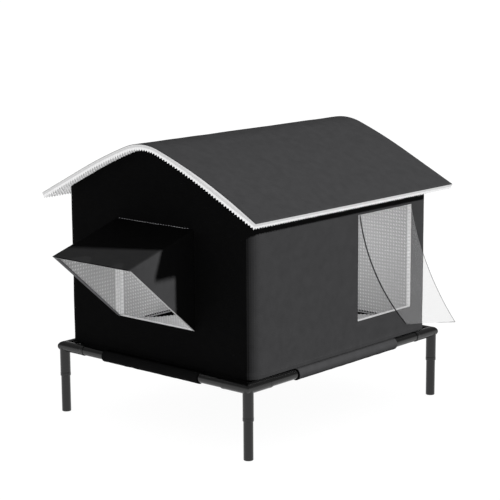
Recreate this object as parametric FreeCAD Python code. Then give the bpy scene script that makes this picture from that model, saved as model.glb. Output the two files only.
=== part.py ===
"""A raised, insulated pet house: a gabled fabric-and-foam house on a low stand of tubes.

Millimetres. The origin is the centre of the four legs at floor level, +Z is up, +X points to the long wall
with the flap doorway, and -Y points to the gable with the hooded doorway.
"""
import FreeCAD
import Part
import math
import os

from FreeCAD import Vector

# ---------------------------------------------------------------- driving dimensions
# stand
LEG_SPACING_X = 607.8        # leg axis to leg axis, across the gables
LEG_SPACING_Y = 708.0        # leg axis to leg axis, along the ridge
RAIL_HEIGHT = 166.4          # rail axis above the floor
TUBE_DIAMETER = 22.8         # legs and rails
TUBE_WALL = 1.2
FITTING_DIAMETER = 25.4
FITTING_ARM = 75.0           # corner axis to the mouth of a socket
FITTING_SEAT = 22.0          # corner axis to the bottom of a socket
FITTING_LIP = 0.3            # bead round a socket's mouth
FITTING_LIP_LENGTH = 9.0
FITTING_MOUTH_CHAMFER = 0.8
SOCKET_CLEARANCE = 0.05      # radial, tube in socket
FOOT_CAP_FLANGE = 2.0
FOOT_CAP_ROUND = 1.2
FOOT_CAP_PLUG_LENGTH = 12.0
FOOT_CAP_CLEARANCE = 0.05

# deck
SLEEVE_THICKNESS = 3.2       # padded fabric round a rail
SLEEVE_CLEARANCE = 0.2       # radial, rail in sleeve
SLEEVE_END_CHAMFER = 2.4
FRONT_SLEEVE_LENGTH = 316.0
SIDE_SLEEVE_LENGTH = 380.0
DECK_THICKNESS = 1.3
DECK_SLEEVE_GAP = 1.2        # deck sheet's edge to the side of a sleeve
DECK_CORNER_RADIUS = 40.0
DECK_HEM_WIDTH = 6.0         # the sheet's edge, rolled under
DECK_HEM_DEPTH = 14.0

# house body
HOUSE_SIDE_INSET = 1.9       # long wall's face inside the rail's axis
HOUSE_END_INSET = 15.5       # gable's face inside the rail's axis
HOUSE_CLEARANCE = 0.1        # house above the corner fittings
HOUSE_HEIGHT = 517.5         # underside of the walls to the roof's ridge
CORNER_RADIUS = 31.0
WALL_THICKNESS = 12.5        # foam and cover together
COVER_THICKNESS = 1.0
FLOOR_THICKNESS = 12.5
FLOOR_CLEARANCE = 1.5        # floor panel to wall
FLOOR_GAP_DEPTH = 48.0       # bowed hand gap at the floor's edge
FLOOR_GAP_HALF_LENGTH = 125.0
LEFT_FLOOR_GAP_CENTRE = 44.0
REAR_FLOOR_GAP_CENTRE = 20.0

# doorways, measured inside their edge strips
DOOR_EDGE_STRIP = 1.0
FRONT_DOOR_WIDTH = 239.2
FRONT_DOOR_RISE = 89.1       # sill above the underside of the walls
FRONT_DOOR_HEIGHT = 238.4
SIDE_DOOR_WIDTH = 215.4
SIDE_DOOR_CENTRE = 157.1     # along the ridge
SIDE_DOOR_RISE = 68.1
SIDE_DOOR_HEIGHT = 261.4

# hood over the front doorway
HOOD_REACH = 204.7           # wall face to front edge
HOOD_DROP = 62.5             # front edge below the doorway's head
HOOD_TOP_BOARD = 2.2
HOOD_GUSSET_BOARD = 6.7
HOOD_COVER = 0.8
HOOD_FLANGE_WIDTH = 6.5
HOOD_FLANGE_THICKNESS = 1.0

# clear flap
FLAP_THICKNESS = 0.8
FLAP_SIDE_CLEARANCE = 2.2    # flap edge to doorway edge
FLAP_HINGE_STANDOFF = 0.9    # hinge line in front of the wall face
FLAP_HINGE_DROP = 1.1        # hinge line below the doorway's head
FLAP_TOP_GAP = 0.5           # hinge line to the flap's top edge
FLAP_NEAR_OVERLAP = 27.6     # edge nearer the hooded gable: longer than the doorway is high
FLAP_NEAR_TOP_ANGLE = 9.2    # degrees from plumb
FLAP_NEAR_TIP_ANGLE = 50.4
FLAP_FAR_OVERLAP = 52.6
FLAP_FAR_TOP_ANGLE = 11.9
FLAP_FAR_TIP_ANGLE = 40.3
HEADER_STRIP_THICKNESS = 0.6
HEADER_STRIP_INSET = 0.4     # strip's edge behind the wall face
HEADER_STRIP_DEPTH = 10.0

# roof sheet, bent over the ridge
ROOF_SIDE_OVERHANG = 46.0    # eave beyond the long wall's face
ROOF_END_OVERHANG = 36.2     # beyond the gable's face
ROOF_THICKNESS = 12.5        # foam and cover together
ROOF_COVER_THICKNESS = 1.0
ROOF_RIDGE_RADIUS = 157.0    # outer face
ROOF_RIDGE_ANGLE = 20.4      # pitch where the ridge's bend ends, degrees
ROOF_BELLY_RADIUS = 1505.0
ROOF_PITCH = 26.5            # pitch of the straight lower part, degrees
ROOF_SEAT_GAP = 0.3          # roof above the gables
STRIP_THICKNESS = 1.2        # one half of the hook-and-loop tape
STRIP_WIDTH = 8.0
STRIP_LENGTH = 380.0

# ---------------------------------------------------------------- worked-out places
LEG_X = LEG_SPACING_X / 2
LEG_Y = LEG_SPACING_Y / 2
TUBE_RADIUS = TUBE_DIAMETER / 2
TUBE_BORE_RADIUS = TUBE_RADIUS - TUBE_WALL
FITTING_RADIUS = FITTING_DIAMETER / 2
SOCKET_RADIUS = TUBE_RADIUS + SOCKET_CLEARANCE
SLEEVE_BORE_RADIUS = TUBE_RADIUS + SLEEVE_CLEARANCE
SLEEVE_RADIUS = SLEEVE_BORE_RADIUS + SLEEVE_THICKNESS
DECK_INSET = SLEEVE_RADIUS + DECK_SLEEVE_GAP
HOUSE_BASE = RAIL_HEIGHT + FITTING_RADIUS + FITTING_LIP + HOUSE_CLEARANCE
WALL_X = LEG_X - HOUSE_SIDE_INSET
WALL_Y = LEG_Y - HOUSE_END_INSET
FRONT_DOOR_SILL = HOUSE_BASE + FRONT_DOOR_RISE
FRONT_DOOR_HEAD = FRONT_DOOR_SILL + FRONT_DOOR_HEIGHT
SIDE_DOOR_SILL = HOUSE_BASE + SIDE_DOOR_RISE
SIDE_DOOR_HEAD = SIDE_DOOR_SILL + SIDE_DOOR_HEIGHT
ROOF_RIDGE_HEIGHT = HOUSE_BASE + HOUSE_HEIGHT
ROOF_HALF_WIDTH = WALL_X + ROOF_SIDE_OVERHANG
ROOF_HALF_DEPTH = WALL_Y + ROOF_END_OVERHANG
ROOF_TOP_CLEAR = ROOF_RIDGE_HEIGHT + 50
GABLE_TOP = ROOF_THICKNESS + ROOF_SEAT_GAP
SIDE_WALL_TOP = GABLE_TOP + 2 * STRIP_THICKNESS
HOOD_HALF_WIDTH = FRONT_DOOR_WIDTH / 2 + HOOD_GUSSET_BOARD
HOOD_SLOPE = math.atan2(HOOD_DROP, HOOD_REACH)
HINGE_X = WALL_X + FLAP_HINGE_STANDOFF
HINGE_Z = SIDE_DOOR_HEAD - FLAP_HINGE_DROP

CORNERS = {"front_left": (-1, -1), "front_right": (1, -1), "rear_left": (-1, 1), "rear_right": (1, 1)}
X_AXIS = Vector(1, 0, 0)
Y_AXIS = Vector(0, 1, 0)
Z_AXIS = Vector(0, 0, 1)


# ---------------------------------------------------------------- helpers
def box(low, high):
    """A box from its lowest to its highest corner."""
    size = [high[i] - low[i] for i in range(3)]
    return Part.makeBox(size[0], size[1], size[2], Vector(*low))


def polygon_prism(points, direction):
    """A straight-edged outline, extruded."""
    corners = [Vector(*p) for p in points]
    return Part.Face(Part.makePolygon(corners + [corners[0]])).extrude(direction)


def rounded_prism(half_x, half_y, radius, low, high):
    """An upright block with rounded vertical corners, centred on the house."""
    block = box((-half_x, -half_y, low), (half_x, half_y, high))
    upright = [e for e in block.Edges if abs(e.Length - (high - low)) < 1e-6
               and abs(e.tangentAt(e.FirstParameter).z) > 0.99]
    return block.makeFillet(radius, upright)


def mirrored_pair(solid, point, normal):
    """A solid and its mirror image as one group."""
    return Part.Compound([solid, solid.mirror(point, normal)])


# ---------------------------------------------------------------- stand
def socket_arm(direction):
    """One arm of a corner fitting, from behind the corner axis to its mouth, without the bore."""
    start = direction * -FITTING_RADIUS
    body = Part.makeCylinder(FITTING_RADIUS, FITTING_RADIUS + FITTING_ARM, start, direction)
    lip_radius = FITTING_RADIUS + FITTING_LIP
    lip_start = FITTING_ARM - FITTING_LIP_LENGTH
    run_in = Part.makeCone(FITTING_RADIUS, lip_radius, FITTING_LIP * 4, direction * lip_start, direction)
    straight_start = lip_start + FITTING_LIP * 4
    straight_length = FITTING_ARM - FITTING_MOUTH_CHAMFER - straight_start
    lip = Part.makeCylinder(lip_radius, straight_length, direction * straight_start, direction)
    mouth = Part.makeCone(lip_radius, lip_radius - FITTING_MOUTH_CHAMFER, FITTING_MOUTH_CHAMFER,
                          direction * (FITTING_ARM - FITTING_MOUTH_CHAMFER), direction)
    trim = Part.makeCylinder(FITTING_RADIUS * 2, FITTING_MOUTH_CHAMFER * 2,
                             direction * (FITTING_ARM - FITTING_MOUTH_CHAMFER), direction)
    return body.cut(trim).fuse([run_in, lip, mouth])


def corner_fitting(sign_x, sign_y):
    """A three-way fitting: two horizontal sockets, mitred into each other, and a socket for the leg."""
    inward_x = X_AXIS * -sign_x
    inward_y = Y_AXIS * -sign_y
    reach = FITTING_ARM * 2
    back = FITTING_RADIUS * 2
    top = Vector(0, 0, back)

    def mitre_half(keep, other):
        """The half of the corner that belongs to the arm along keep."""
        outer = (keep + other) * -back
        far = keep * reach - other * back
        inner = (keep + other) * reach
        outline = Part.makePolygon([v - top for v in (outer, far, inner, outer)])
        return Part.Face(outline).extrude(top * 2)

    arm_x = socket_arm(inward_x).common(mitre_half(inward_x, inward_y))
    arm_y = socket_arm(inward_y).common(mitre_half(inward_y, inward_x))
    down = socket_arm(Z_AXIS * -1)
    above_axis = box((-back, -back, 0), (back, back, back))
    body = arm_x.fuse([arm_y, down.cut(above_axis)]).removeSplitter()
    bore_length = FITTING_ARM
    for direction in (inward_x, inward_y, Z_AXIS * -1):
        bore = Part.makeCylinder(SOCKET_RADIUS, bore_length, direction * FITTING_SEAT, direction)
        body = body.cut(bore)
    body.translate(Vector(sign_x * LEG_X, sign_y * LEG_Y, RAIL_HEIGHT))
    return body


def tube(start, length, direction):
    """A hollow tube of the stand."""
    outer = Part.makeCylinder(TUBE_RADIUS, length, start, direction)
    return outer.cut(Part.makeCylinder(TUBE_BORE_RADIUS, length, start, direction))


def leg(sign_x, sign_y):
    """A leg tube, from its foot cap's flange up to the bottom of its socket."""
    start = Vector(sign_x * LEG_X, sign_y * LEG_Y, FOOT_CAP_FLANGE)
    return tube(start, RAIL_HEIGHT - FITTING_SEAT - FOOT_CAP_FLANGE, Z_AXIS)


def foot_cap(sign_x, sign_y):
    """The plug in the leg's lower end; its rounded flange meets the floor."""
    centre = Vector(sign_x * LEG_X, sign_y * LEG_Y, 0)
    flange = Part.makeCylinder(TUBE_RADIUS, FOOT_CAP_FLANGE, centre, Z_AXIS)
    low_edge = [e for e in flange.Edges if e.BoundBox.ZMax < 1e-6]
    flange = flange.makeFillet(FOOT_CAP_ROUND, low_edge)
    plug_start = centre + Z_AXIS * (FOOT_CAP_FLANGE / 2)
    plug = Part.makeCylinder(TUBE_BORE_RADIUS - FOOT_CAP_CLEARANCE,
                             FOOT_CAP_FLANGE / 2 + FOOT_CAP_PLUG_LENGTH, plug_start, Z_AXIS)
    return flange.fuse(plug).removeSplitter()


def rail_across(sign_y):
    """The front or rear rail."""
    length = LEG_SPACING_X - 2 * FITTING_SEAT
    return tube(Vector(-length / 2, sign_y * LEG_Y, RAIL_HEIGHT), length, X_AXIS)


def rail_along(sign_x):
    """The left or right rail."""
    length = LEG_SPACING_Y - 2 * FITTING_SEAT
    return tube(Vector(sign_x * LEG_X, -length / 2, RAIL_HEIGHT), length, Y_AXIS)


def rail_sleeve(centre, along, inward, length):
    """The deck's pocket round a rail, pressed flat under the house, with its tab towards the deck sheet."""
    start = centre - along * (length / 2)
    chamfer = SLEEVE_END_CHAMFER
    end_radius = SLEEVE_RADIUS - chamfer
    middle = Part.makeCylinder(SLEEVE_RADIUS, length - 2 * chamfer, start + along * chamfer, along)
    first_end = Part.makeCone(end_radius, SLEEVE_RADIUS, chamfer, start, along)
    last_end = Part.makeCone(SLEEVE_RADIUS, end_radius, chamfer, start + along * (length - chamfer), along)
    body = middle.fuse([first_end, last_end])
    tab_foot = start + along * chamfer + Z_AXIS * (HOUSE_BASE - RAIL_HEIGHT - DECK_THICKNESS)
    tab_edge = inward * DECK_INSET
    tab_run = along * (length - 2 * chamfer)
    outline = [tab_foot, tab_foot + tab_edge, tab_foot + tab_edge + tab_run, tab_foot + tab_run]
    tab = polygon_prism([tuple(p) for p in outline], Z_AXIS * DECK_THICKNESS)
    bore = Part.makeCylinder(SLEEVE_BORE_RADIUS, length + 2, start - along, along)
    reach = LEG_SPACING_X + LEG_SPACING_Y
    above = box((-reach, -reach, HOUSE_BASE), (reach, reach, HOUSE_BASE + reach))
    return body.fuse(tab).cut([bore, above]).removeSplitter()


def deck_sheet():
    """The stretched sheet between the four rail sleeves, with its edge rolled under into a hem."""
    half_x = LEG_X - DECK_INSET
    half_y = LEG_Y - DECK_INSET
    low = HOUSE_BASE - DECK_HEM_DEPTH
    sheet = rounded_prism(half_x, half_y, DECK_CORNER_RADIUS, low, HOUSE_BASE)
    below = rounded_prism(half_x - DECK_HEM_WIDTH, half_y - DECK_HEM_WIDTH, DECK_CORNER_RADIUS - DECK_HEM_WIDTH,
                          low, HOUSE_BASE - DECK_THICKNESS)
    return sheet.cut(below)


# ---------------------------------------------------------------- roof line
def roof_layer(top_depth, bottom_depth, half_depth):
    """A layer of the bent roof sheet, between two depths below its outer face, centred along the ridge."""
    def half_line(depth):
        ridge_centre = ROOF_RIDGE_HEIGHT - ROOF_RIDGE_RADIUS
        bend = math.radians(ROOF_RIDGE_ANGLE)
        pitch = math.radians(ROOF_PITCH)
        belly_x = (ROOF_RIDGE_RADIUS - ROOF_BELLY_RADIUS) * math.sin(bend)
        belly_z = ridge_centre + (ROOF_RIDGE_RADIUS - ROOF_BELLY_RADIUS) * math.cos(bend)

        def ridge_point(angle):
            radius = ROOF_RIDGE_RADIUS - depth
            return Vector(radius * math.sin(angle), 0, ridge_centre + radius * math.cos(angle))

        def belly_point(angle):
            radius = ROOF_BELLY_RADIUS - depth
            return Vector(belly_x + radius * math.sin(angle), 0, belly_z + radius * math.cos(angle))

        outer_end = belly_x + ROOF_BELLY_RADIUS * math.sin(pitch)
        run = (ROOF_HALF_WIDTH - outer_end) / math.cos(pitch)
        straight = Vector(math.cos(pitch), 0, -math.sin(pitch)) * run
        low = belly_point(pitch)
        return [
            Part.Arc(ridge_point(0), ridge_point(bend / 2), ridge_point(bend)).toShape(),
            Part.Arc(belly_point(bend), belly_point((bend + pitch) / 2), low).toShape(),
            Part.LineSegment(low, low + straight).toShape(),
        ], ridge_point(0), low + straight

    upper, upper_ridge, upper_eave = half_line(top_depth)
    lower, lower_ridge, lower_eave = half_line(bottom_depth)
    ends = [Part.LineSegment(upper_eave, lower_eave).toShape(),
            Part.LineSegment(upper_ridge, lower_ridge).toShape()]
    edges = Part.sortEdges(upper + lower + ends)[0]
    half = Part.Face(Part.Wire(edges)).extrude(Y_AXIS * (2 * half_depth))
    half.translate(Y_AXIS * -half_depth)
    return half.fuse(half.mirror(Vector(0, 0, 0), X_AXIS)).removeSplitter()


def under_roof(shape, depth):
    """Cut away what rises above the roof line at a depth below its outer face."""
    reach = ROOF_HALF_DEPTH * 2
    sheet = roof_layer(depth - ROOF_THICKNESS, depth, ROOF_HALF_DEPTH * 1.2)
    over = shape.cut(sheet).Solids
    kept = min(over, key=lambda s: s.BoundBox.ZMin)
    floor_slice = box((-reach, -reach, -1), (reach, reach, ROOF_TOP_CLEAR))
    return kept.common(floor_slice)


# ---------------------------------------------------------------- house body
def front_door_cut(extra):
    """The front doorway's outline, larger by extra all round, running through the front wall."""
    half = FRONT_DOOR_WIDTH / 2 + extra
    reach = CORNER_RADIUS
    return box((-half, -WALL_Y - reach, FRONT_DOOR_SILL - extra),
               (half, -WALL_Y + reach, FRONT_DOOR_HEAD + extra))


def side_door_cut(extra):
    """The side doorway's outline, larger by extra all round, running through the right wall."""
    half = SIDE_DOOR_WIDTH / 2 + extra
    reach = CORNER_RADIUS
    return box((WALL_X - reach, SIDE_DOOR_CENTRE - half, SIDE_DOOR_SILL - extra),
               (WALL_X + reach, SIDE_DOOR_CENTRE + half, SIDE_DOOR_HEAD + extra))


def wall_ring(outer_depth, inner_depth):
    """A ring of wall between two depths below the outer face, straight up past the roof."""
    outer = rounded_prism(WALL_X - outer_depth, WALL_Y - outer_depth, CORNER_RADIUS - outer_depth,
                          HOUSE_BASE, ROOF_TOP_CLEAR)
    inner = rounded_prism(WALL_X - inner_depth, WALL_Y - inner_depth, CORNER_RADIUS - inner_depth,
                          HOUSE_BASE, ROOF_TOP_CLEAR)
    ring = outer.cut(inner)
    return ring.cut([front_door_cut(DOOR_EDGE_STRIP), side_door_cut(DOOR_EDGE_STRIP)])


def outer_cover():
    """The fabric skin over all four walls."""
    return under_roof(wall_ring(0, COVER_THICKNESS), GABLE_TOP)


def wall_panels():
    """Four foam panels: the gables wrap round the corners, and the side walls stand between them."""
    ring = wall_ring(COVER_THICKNESS, WALL_THICKNESS)
    seam_y = WALL_Y - CORNER_RADIUS
    far_x = WALL_X * 2
    far_y = WALL_Y * 2
    low = HOUSE_BASE - 1
    front_zone = box((-far_x, -far_y, low), (far_x, -seam_y, ROOF_TOP_CLEAR + 1))
    rear_zone = box((-far_x, seam_y, low), (far_x, far_y, ROOF_TOP_CLEAR + 1))
    left_zone = box((-far_x, -seam_y, low), (0, seam_y, ROOF_TOP_CLEAR + 1))
    right_zone = box((0, -seam_y, low), (far_x, seam_y, ROOF_TOP_CLEAR + 1))
    return {
        "front_wall_panel": under_roof(ring.common(front_zone), GABLE_TOP),
        "rear_wall_panel": under_roof(ring.common(rear_zone), GABLE_TOP),
        "left_wall_panel": under_roof(ring.common(left_zone), SIDE_WALL_TOP),
        "right_wall_panel": under_roof(ring.common(right_zone), SIDE_WALL_TOP),
    }


def bowed_gap(centre, along, outward):
    """The bowed gap cut into the floor's edge at centre, as a segment of a circle."""
    depth = FLOOR_GAP_DEPTH
    half = FLOOR_GAP_HALF_LENGTH
    first = centre - along * half
    last = centre + along * half
    bow = Part.Arc(first, centre - outward * depth, last).toShape()
    outside = outward * depth
    sides = Part.makePolygon([last, last + outside, first + outside, first])
    outline = Part.Wire(Part.sortEdges([bow] + sides.Edges)[0])
    return Part.Face(outline).extrude(Z_AXIS * FLOOR_THICKNESS)


def floor_panel():
    """The foam floor, a loose fit between the walls, with two bowed hand gaps."""
    inset = WALL_THICKNESS + FLOOR_CLEARANCE
    half_x = WALL_X - inset
    half_y = WALL_Y - inset
    slab = rounded_prism(half_x, half_y, CORNER_RADIUS - inset, HOUSE_BASE, HOUSE_BASE + FLOOR_THICKNESS)
    left_gap = bowed_gap(Vector(-half_x, LEFT_FLOOR_GAP_CENTRE, HOUSE_BASE), Y_AXIS, X_AXIS * -1)
    rear_gap = bowed_gap(Vector(REAR_FLOOR_GAP_CENTRE, half_y, HOUSE_BASE), X_AXIS, Y_AXIS)
    return slab.cut([left_gap, rear_gap])


def front_door_edge_strip():
    """Foil tape lining the cut edge of the front doorway."""
    depth = box((-WALL_X, -WALL_Y, 0), (WALL_X, -WALL_Y + WALL_THICKNESS, ROOF_TOP_CLEAR))
    return front_door_cut(DOOR_EDGE_STRIP).cut(front_door_cut(0)).common(depth)


def side_door_edge_strip():
    """Foil tape lining the cut edge of the side doorway."""
    depth = box((WALL_X - WALL_THICKNESS, -WALL_Y, 0), (WALL_X, WALL_Y, ROOF_TOP_CLEAR))
    return side_door_cut(DOOR_EDGE_STRIP).cut(side_door_cut(0)).common(depth)


# ---------------------------------------------------------------- hood
def hood_outline(depth, x):
    """The hood's side outline at a depth below its sloping top: wall head, front edge and sill."""
    wall = -WALL_Y
    drop = depth / math.cos(HOOD_SLOPE)
    head = (x, wall, FRONT_DOOR_HEAD - drop)
    front = (x, wall - HOOD_REACH, FRONT_DOOR_HEAD - HOOD_DROP - drop)
    sill = (x, wall, FRONT_DOOR_SILL)
    return head, front, sill


def hood_top_panel():
    """The sloping foam board of the hood."""
    half = HOOD_HALF_WIDTH
    head, front, _ = hood_outline(HOOD_COVER, -half)
    low_head, low_front, _ = hood_outline(HOOD_COVER + HOOD_TOP_BOARD, -half)
    return polygon_prism([head, front, low_front, low_head], X_AXIS * (2 * half))


def hood_gusset(side):
    """A triangular side board of the hood, below its top board."""
    inner = side * (HOOD_HALF_WIDTH - HOOD_GUSSET_BOARD)
    outline = hood_outline(HOOD_COVER + HOOD_TOP_BOARD, inner)
    return polygon_prism(outline, X_AXIS * (side * HOOD_GUSSET_BOARD))


def hood_cover():
    """The fabric skin over the hood's top and both sides."""
    outer = HOOD_HALF_WIDTH + HOOD_COVER
    shell = polygon_prism(hood_outline(0, -outer), X_AXIS * (2 * outer))
    head, front, sill = hood_outline(HOOD_COVER, -HOOD_HALF_WIDTH)
    below = 2 * HOOD_REACH
    inside = [head, front, (front[0], front[1] - below, front[2]),
              (front[0], front[1] - below, sill[2] - below), (sill[0], sill[1], sill[2] - below)]
    return shell.cut(polygon_prism(inside, X_AXIS * (2 * HOOD_HALF_WIDTH)))


def hood_side_flanges():
    """The two strips that sew the hood's sides to the front wall."""
    inner = HOOD_HALF_WIDTH + HOOD_COVER
    flange = box((inner, -WALL_Y - HOOD_FLANGE_THICKNESS, FRONT_DOOR_SILL),
                 (inner + HOOD_FLANGE_WIDTH, -WALL_Y, FRONT_DOOR_HEAD))
    return mirrored_pair(flange, Vector(0, 0, 0), X_AXIS)


# ---------------------------------------------------------------- flap
def flap_profile(y, length, top_angle, tip_angle):
    """The flap's closed edge outline at one side: two concentric arcs, curling outwards as it hangs."""
    first = math.radians(top_angle)
    last = math.radians(tip_angle)
    radius = length / (last - first)
    start_x = HINGE_X + FLAP_TOP_GAP * math.sin(first)
    start_z = HINGE_Z - FLAP_TOP_GAP * math.cos(first)

    def point(angle, offset):
        x = start_x + radius * (math.cos(first) - math.cos(angle)) + offset * math.cos(angle)
        z = start_z - radius * (math.sin(angle) - math.sin(first)) + offset * math.sin(angle)
        return Vector(x, y, z)

    middle = (first + last) / 2
    inner = Part.Arc(point(first, 0), point(middle, 0), point(last, 0)).toShape()
    tip = Part.LineSegment(point(last, 0), point(last, FLAP_THICKNESS)).toShape()
    outer = Part.Arc(point(last, FLAP_THICKNESS), point(middle, FLAP_THICKNESS),
                     point(first, FLAP_THICKNESS)).toShape()
    top = Part.LineSegment(point(first, FLAP_THICKNESS), point(first, 0)).toShape()
    return Part.Wire([inner, tip, outer, top])


def door_flap():
    """The clear flap, a little narrower than the doorway, hanging from its head."""
    half = SIDE_DOOR_WIDTH / 2 - FLAP_SIDE_CLEARANCE
    near_length = SIDE_DOOR_HEIGHT + FLAP_NEAR_OVERLAP
    far_length = SIDE_DOOR_HEIGHT + FLAP_FAR_OVERLAP
    near = flap_profile(SIDE_DOOR_CENTRE - half, near_length, FLAP_NEAR_TOP_ANGLE, FLAP_NEAR_TIP_ANGLE)
    far = flap_profile(SIDE_DOOR_CENTRE + half, far_length, FLAP_FAR_TOP_ANGLE, FLAP_FAR_TIP_ANGLE)
    return Part.makeLoft([near, far], True, True)


def flap_header_strip():
    """The strip in the doorway's soffit that holds the flap's top edge."""
    half = SIDE_DOOR_WIDTH / 2 - FLAP_SIDE_CLEARANCE
    front = WALL_X - HEADER_STRIP_INSET
    return box((front - HEADER_STRIP_DEPTH, SIDE_DOOR_CENTRE - half, SIDE_DOOR_HEAD - HEADER_STRIP_THICKNESS),
               (front, SIDE_DOOR_CENTRE + half, SIDE_DOOR_HEAD))


# ---------------------------------------------------------------- roof
def roof_strips(top_depth):
    """One half of the hook-and-loop tape along both side walls, at a depth below the roof's outer face."""
    panel_middle = WALL_X - (COVER_THICKNESS + WALL_THICKNESS) / 2
    zone = box((panel_middle - STRIP_WIDTH / 2, -STRIP_LENGTH / 2, HOUSE_BASE),
               (panel_middle + STRIP_WIDTH / 2, STRIP_LENGTH / 2, ROOF_TOP_CLEAR))
    strip = roof_layer(top_depth, top_depth + STRIP_THICKNESS, STRIP_LENGTH).common(zone)
    return mirrored_pair(strip, Vector(0, 0, 0), X_AXIS)


# ---------------------------------------------------------------- all sub-parts
def build():
    """Every sub-part by its node name."""
    nodes = {}
    for name, (sign_x, sign_y) in CORNERS.items():
        nodes["corner_fitting_" + name] = corner_fitting(sign_x, sign_y)
        nodes["leg_" + name] = leg(sign_x, sign_y)
        nodes["foot_cap_" + name] = foot_cap(sign_x, sign_y)
    for name, sign_y in (("front", -1), ("rear", 1)):
        nodes[name + "_rail"] = rail_across(sign_y)
        centre = Vector(0, sign_y * LEG_Y, RAIL_HEIGHT)
        nodes[name + "_rail_sleeve"] = rail_sleeve(centre, X_AXIS, Y_AXIS * -sign_y, FRONT_SLEEVE_LENGTH)
    for name, sign_x in (("left", -1), ("right", 1)):
        nodes[name + "_rail"] = rail_along(sign_x)
        centre = Vector(sign_x * LEG_X, 0, RAIL_HEIGHT)
        nodes[name + "_rail_sleeve"] = rail_sleeve(centre, Y_AXIS, X_AXIS * -sign_x, SIDE_SLEEVE_LENGTH)
    nodes["deck_sheet"] = deck_sheet()
    nodes["floor_panel"] = floor_panel()
    nodes.update(wall_panels())
    nodes["outer_cover"] = outer_cover()
    nodes["front_door_edge_strip"] = front_door_edge_strip()
    nodes["side_door_edge_strip"] = side_door_edge_strip()
    nodes["hood_top_panel"] = hood_top_panel()
    nodes["hood_left_gusset"] = hood_gusset(-1)
    nodes["hood_right_gusset"] = hood_gusset(1)
    nodes["hood_cover"] = hood_cover()
    nodes["hood_side_flanges"] = hood_side_flanges()
    nodes["door_flap"] = door_flap()
    nodes["flap_header_strip"] = flap_header_strip()
    nodes["roof_panel"] = roof_layer(ROOF_COVER_THICKNESS, ROOF_THICKNESS, ROOF_HALF_DEPTH)
    nodes["roof_cover"] = roof_layer(0, ROOF_COVER_THICKNESS, ROOF_HALF_DEPTH)
    nodes["roof_loop_strips"] = roof_strips(ROOF_THICKNESS)
    nodes["roof_hook_strips"] = roof_strips(GABLE_TOP + STRIP_THICKNESS)
    return nodes


os.makedirs("parts", exist_ok=True)
for node_name, node_shape in build().items():
    solids = node_shape.Solids
    shape = solids[0] if len(solids) == 1 else Part.Compound(solids)
    shape.exportStep("parts/" + node_name + ".step")
    print(node_name, len(solids), round(node_shape.Volume), node_shape.isValid())
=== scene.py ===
import math

import bmesh
import bpy
import numpy as np
from mathutils import Matrix, Vector


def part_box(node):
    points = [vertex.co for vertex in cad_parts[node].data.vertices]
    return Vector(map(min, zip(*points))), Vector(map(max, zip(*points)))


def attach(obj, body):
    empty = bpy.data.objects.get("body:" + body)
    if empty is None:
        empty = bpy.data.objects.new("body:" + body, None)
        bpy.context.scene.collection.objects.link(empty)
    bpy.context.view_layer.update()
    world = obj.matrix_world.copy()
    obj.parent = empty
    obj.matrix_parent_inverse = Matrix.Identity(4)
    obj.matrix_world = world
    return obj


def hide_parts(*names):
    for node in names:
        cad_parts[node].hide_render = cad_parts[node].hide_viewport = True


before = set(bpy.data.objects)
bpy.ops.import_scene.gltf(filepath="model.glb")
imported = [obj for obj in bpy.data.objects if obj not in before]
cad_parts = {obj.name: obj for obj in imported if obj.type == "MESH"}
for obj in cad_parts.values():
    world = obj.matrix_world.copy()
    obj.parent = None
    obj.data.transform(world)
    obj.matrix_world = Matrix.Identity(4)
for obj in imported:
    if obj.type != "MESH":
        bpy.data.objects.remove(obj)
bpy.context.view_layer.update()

# ---------------------------------------------------------------- sizes in metres, from the frame
MM = 0.001
COVER_LOW, COVER_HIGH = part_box("outer_cover")
WALL_X, WALL_Y = COVER_HIGH[0], COVER_HIGH[1]
HOUSE_BASE = COVER_LOW[2]
ROOF_X, ROOF_Y, RIDGE_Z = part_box("roof_cover")[1]
FRONT_STRIP_LOW, FRONT_STRIP_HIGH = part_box("front_door_edge_strip")
SIDE_STRIP_LOW, SIDE_STRIP_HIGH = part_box("side_door_edge_strip")
STRIP = 1 * MM
FRONT_DOOR_X = FRONT_STRIP_HIGH[0] - STRIP
FRONT_DOOR_LOW = FRONT_STRIP_LOW[2] + STRIP
FRONT_DOOR_TOP = FRONT_STRIP_HIGH[2] - STRIP
SIDE_DOOR_NEAR = SIDE_STRIP_LOW[1] + STRIP
SIDE_DOOR_FAR = SIDE_STRIP_HIGH[1] - STRIP
SIDE_DOOR_LOW = SIDE_STRIP_LOW[2] + STRIP
SIDE_DOOR_TOP = SIDE_STRIP_HIGH[2] - STRIP
HOOD_LOW, HOOD_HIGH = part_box("hood_cover")
HOOD_X, HOOD_FRONT = HOOD_HIGH[0], HOOD_LOW[1]
HOOD_DROP = 62.5 * MM
HOOD_TOP_THICKNESS = 3 * MM
HOOD_COVER = 0.8 * MM
RAIL_LOW, RAIL_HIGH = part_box("front_rail")
RAIL_Z = (RAIL_LOW[2] + RAIL_HIGH[2]) / 2
RAIL_X = (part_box("left_rail")[0][0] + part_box("left_rail")[1][0]) / -2
RAIL_Y = (RAIL_LOW[1] + RAIL_HIGH[1]) / -2
TUBE_RADIUS = RAIL_HIGH[2] - RAIL_Z
SLEEVE_RADIUS = RAIL_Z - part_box("front_rail_sleeve")[0][2]
FLOOR_LOW, FLOOR_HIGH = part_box("floor_panel")

COVER = 1 * MM
WALL = 12.5 * MM
CORNER_RADIUS = 31 * MM
DOT_PITCH = 8.7 * MM
DOT_HEIGHT = 2.0 * MM
RIDGE_RADIUS = 157 * MM
RIDGE_ANGLE = math.radians(20.4)
BELLY_RADIUS = 1505 * MM
ROOF_PITCH = math.radians(26.5)
ROOF_THICKNESS = 12.5 * MM
WALL_TOP_DEPTH = ROOF_THICKNESS + 0.3 * MM
SIDE_STRIP_DROP = 2.4 * MM
SPECK = 0.01 * MM


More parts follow.
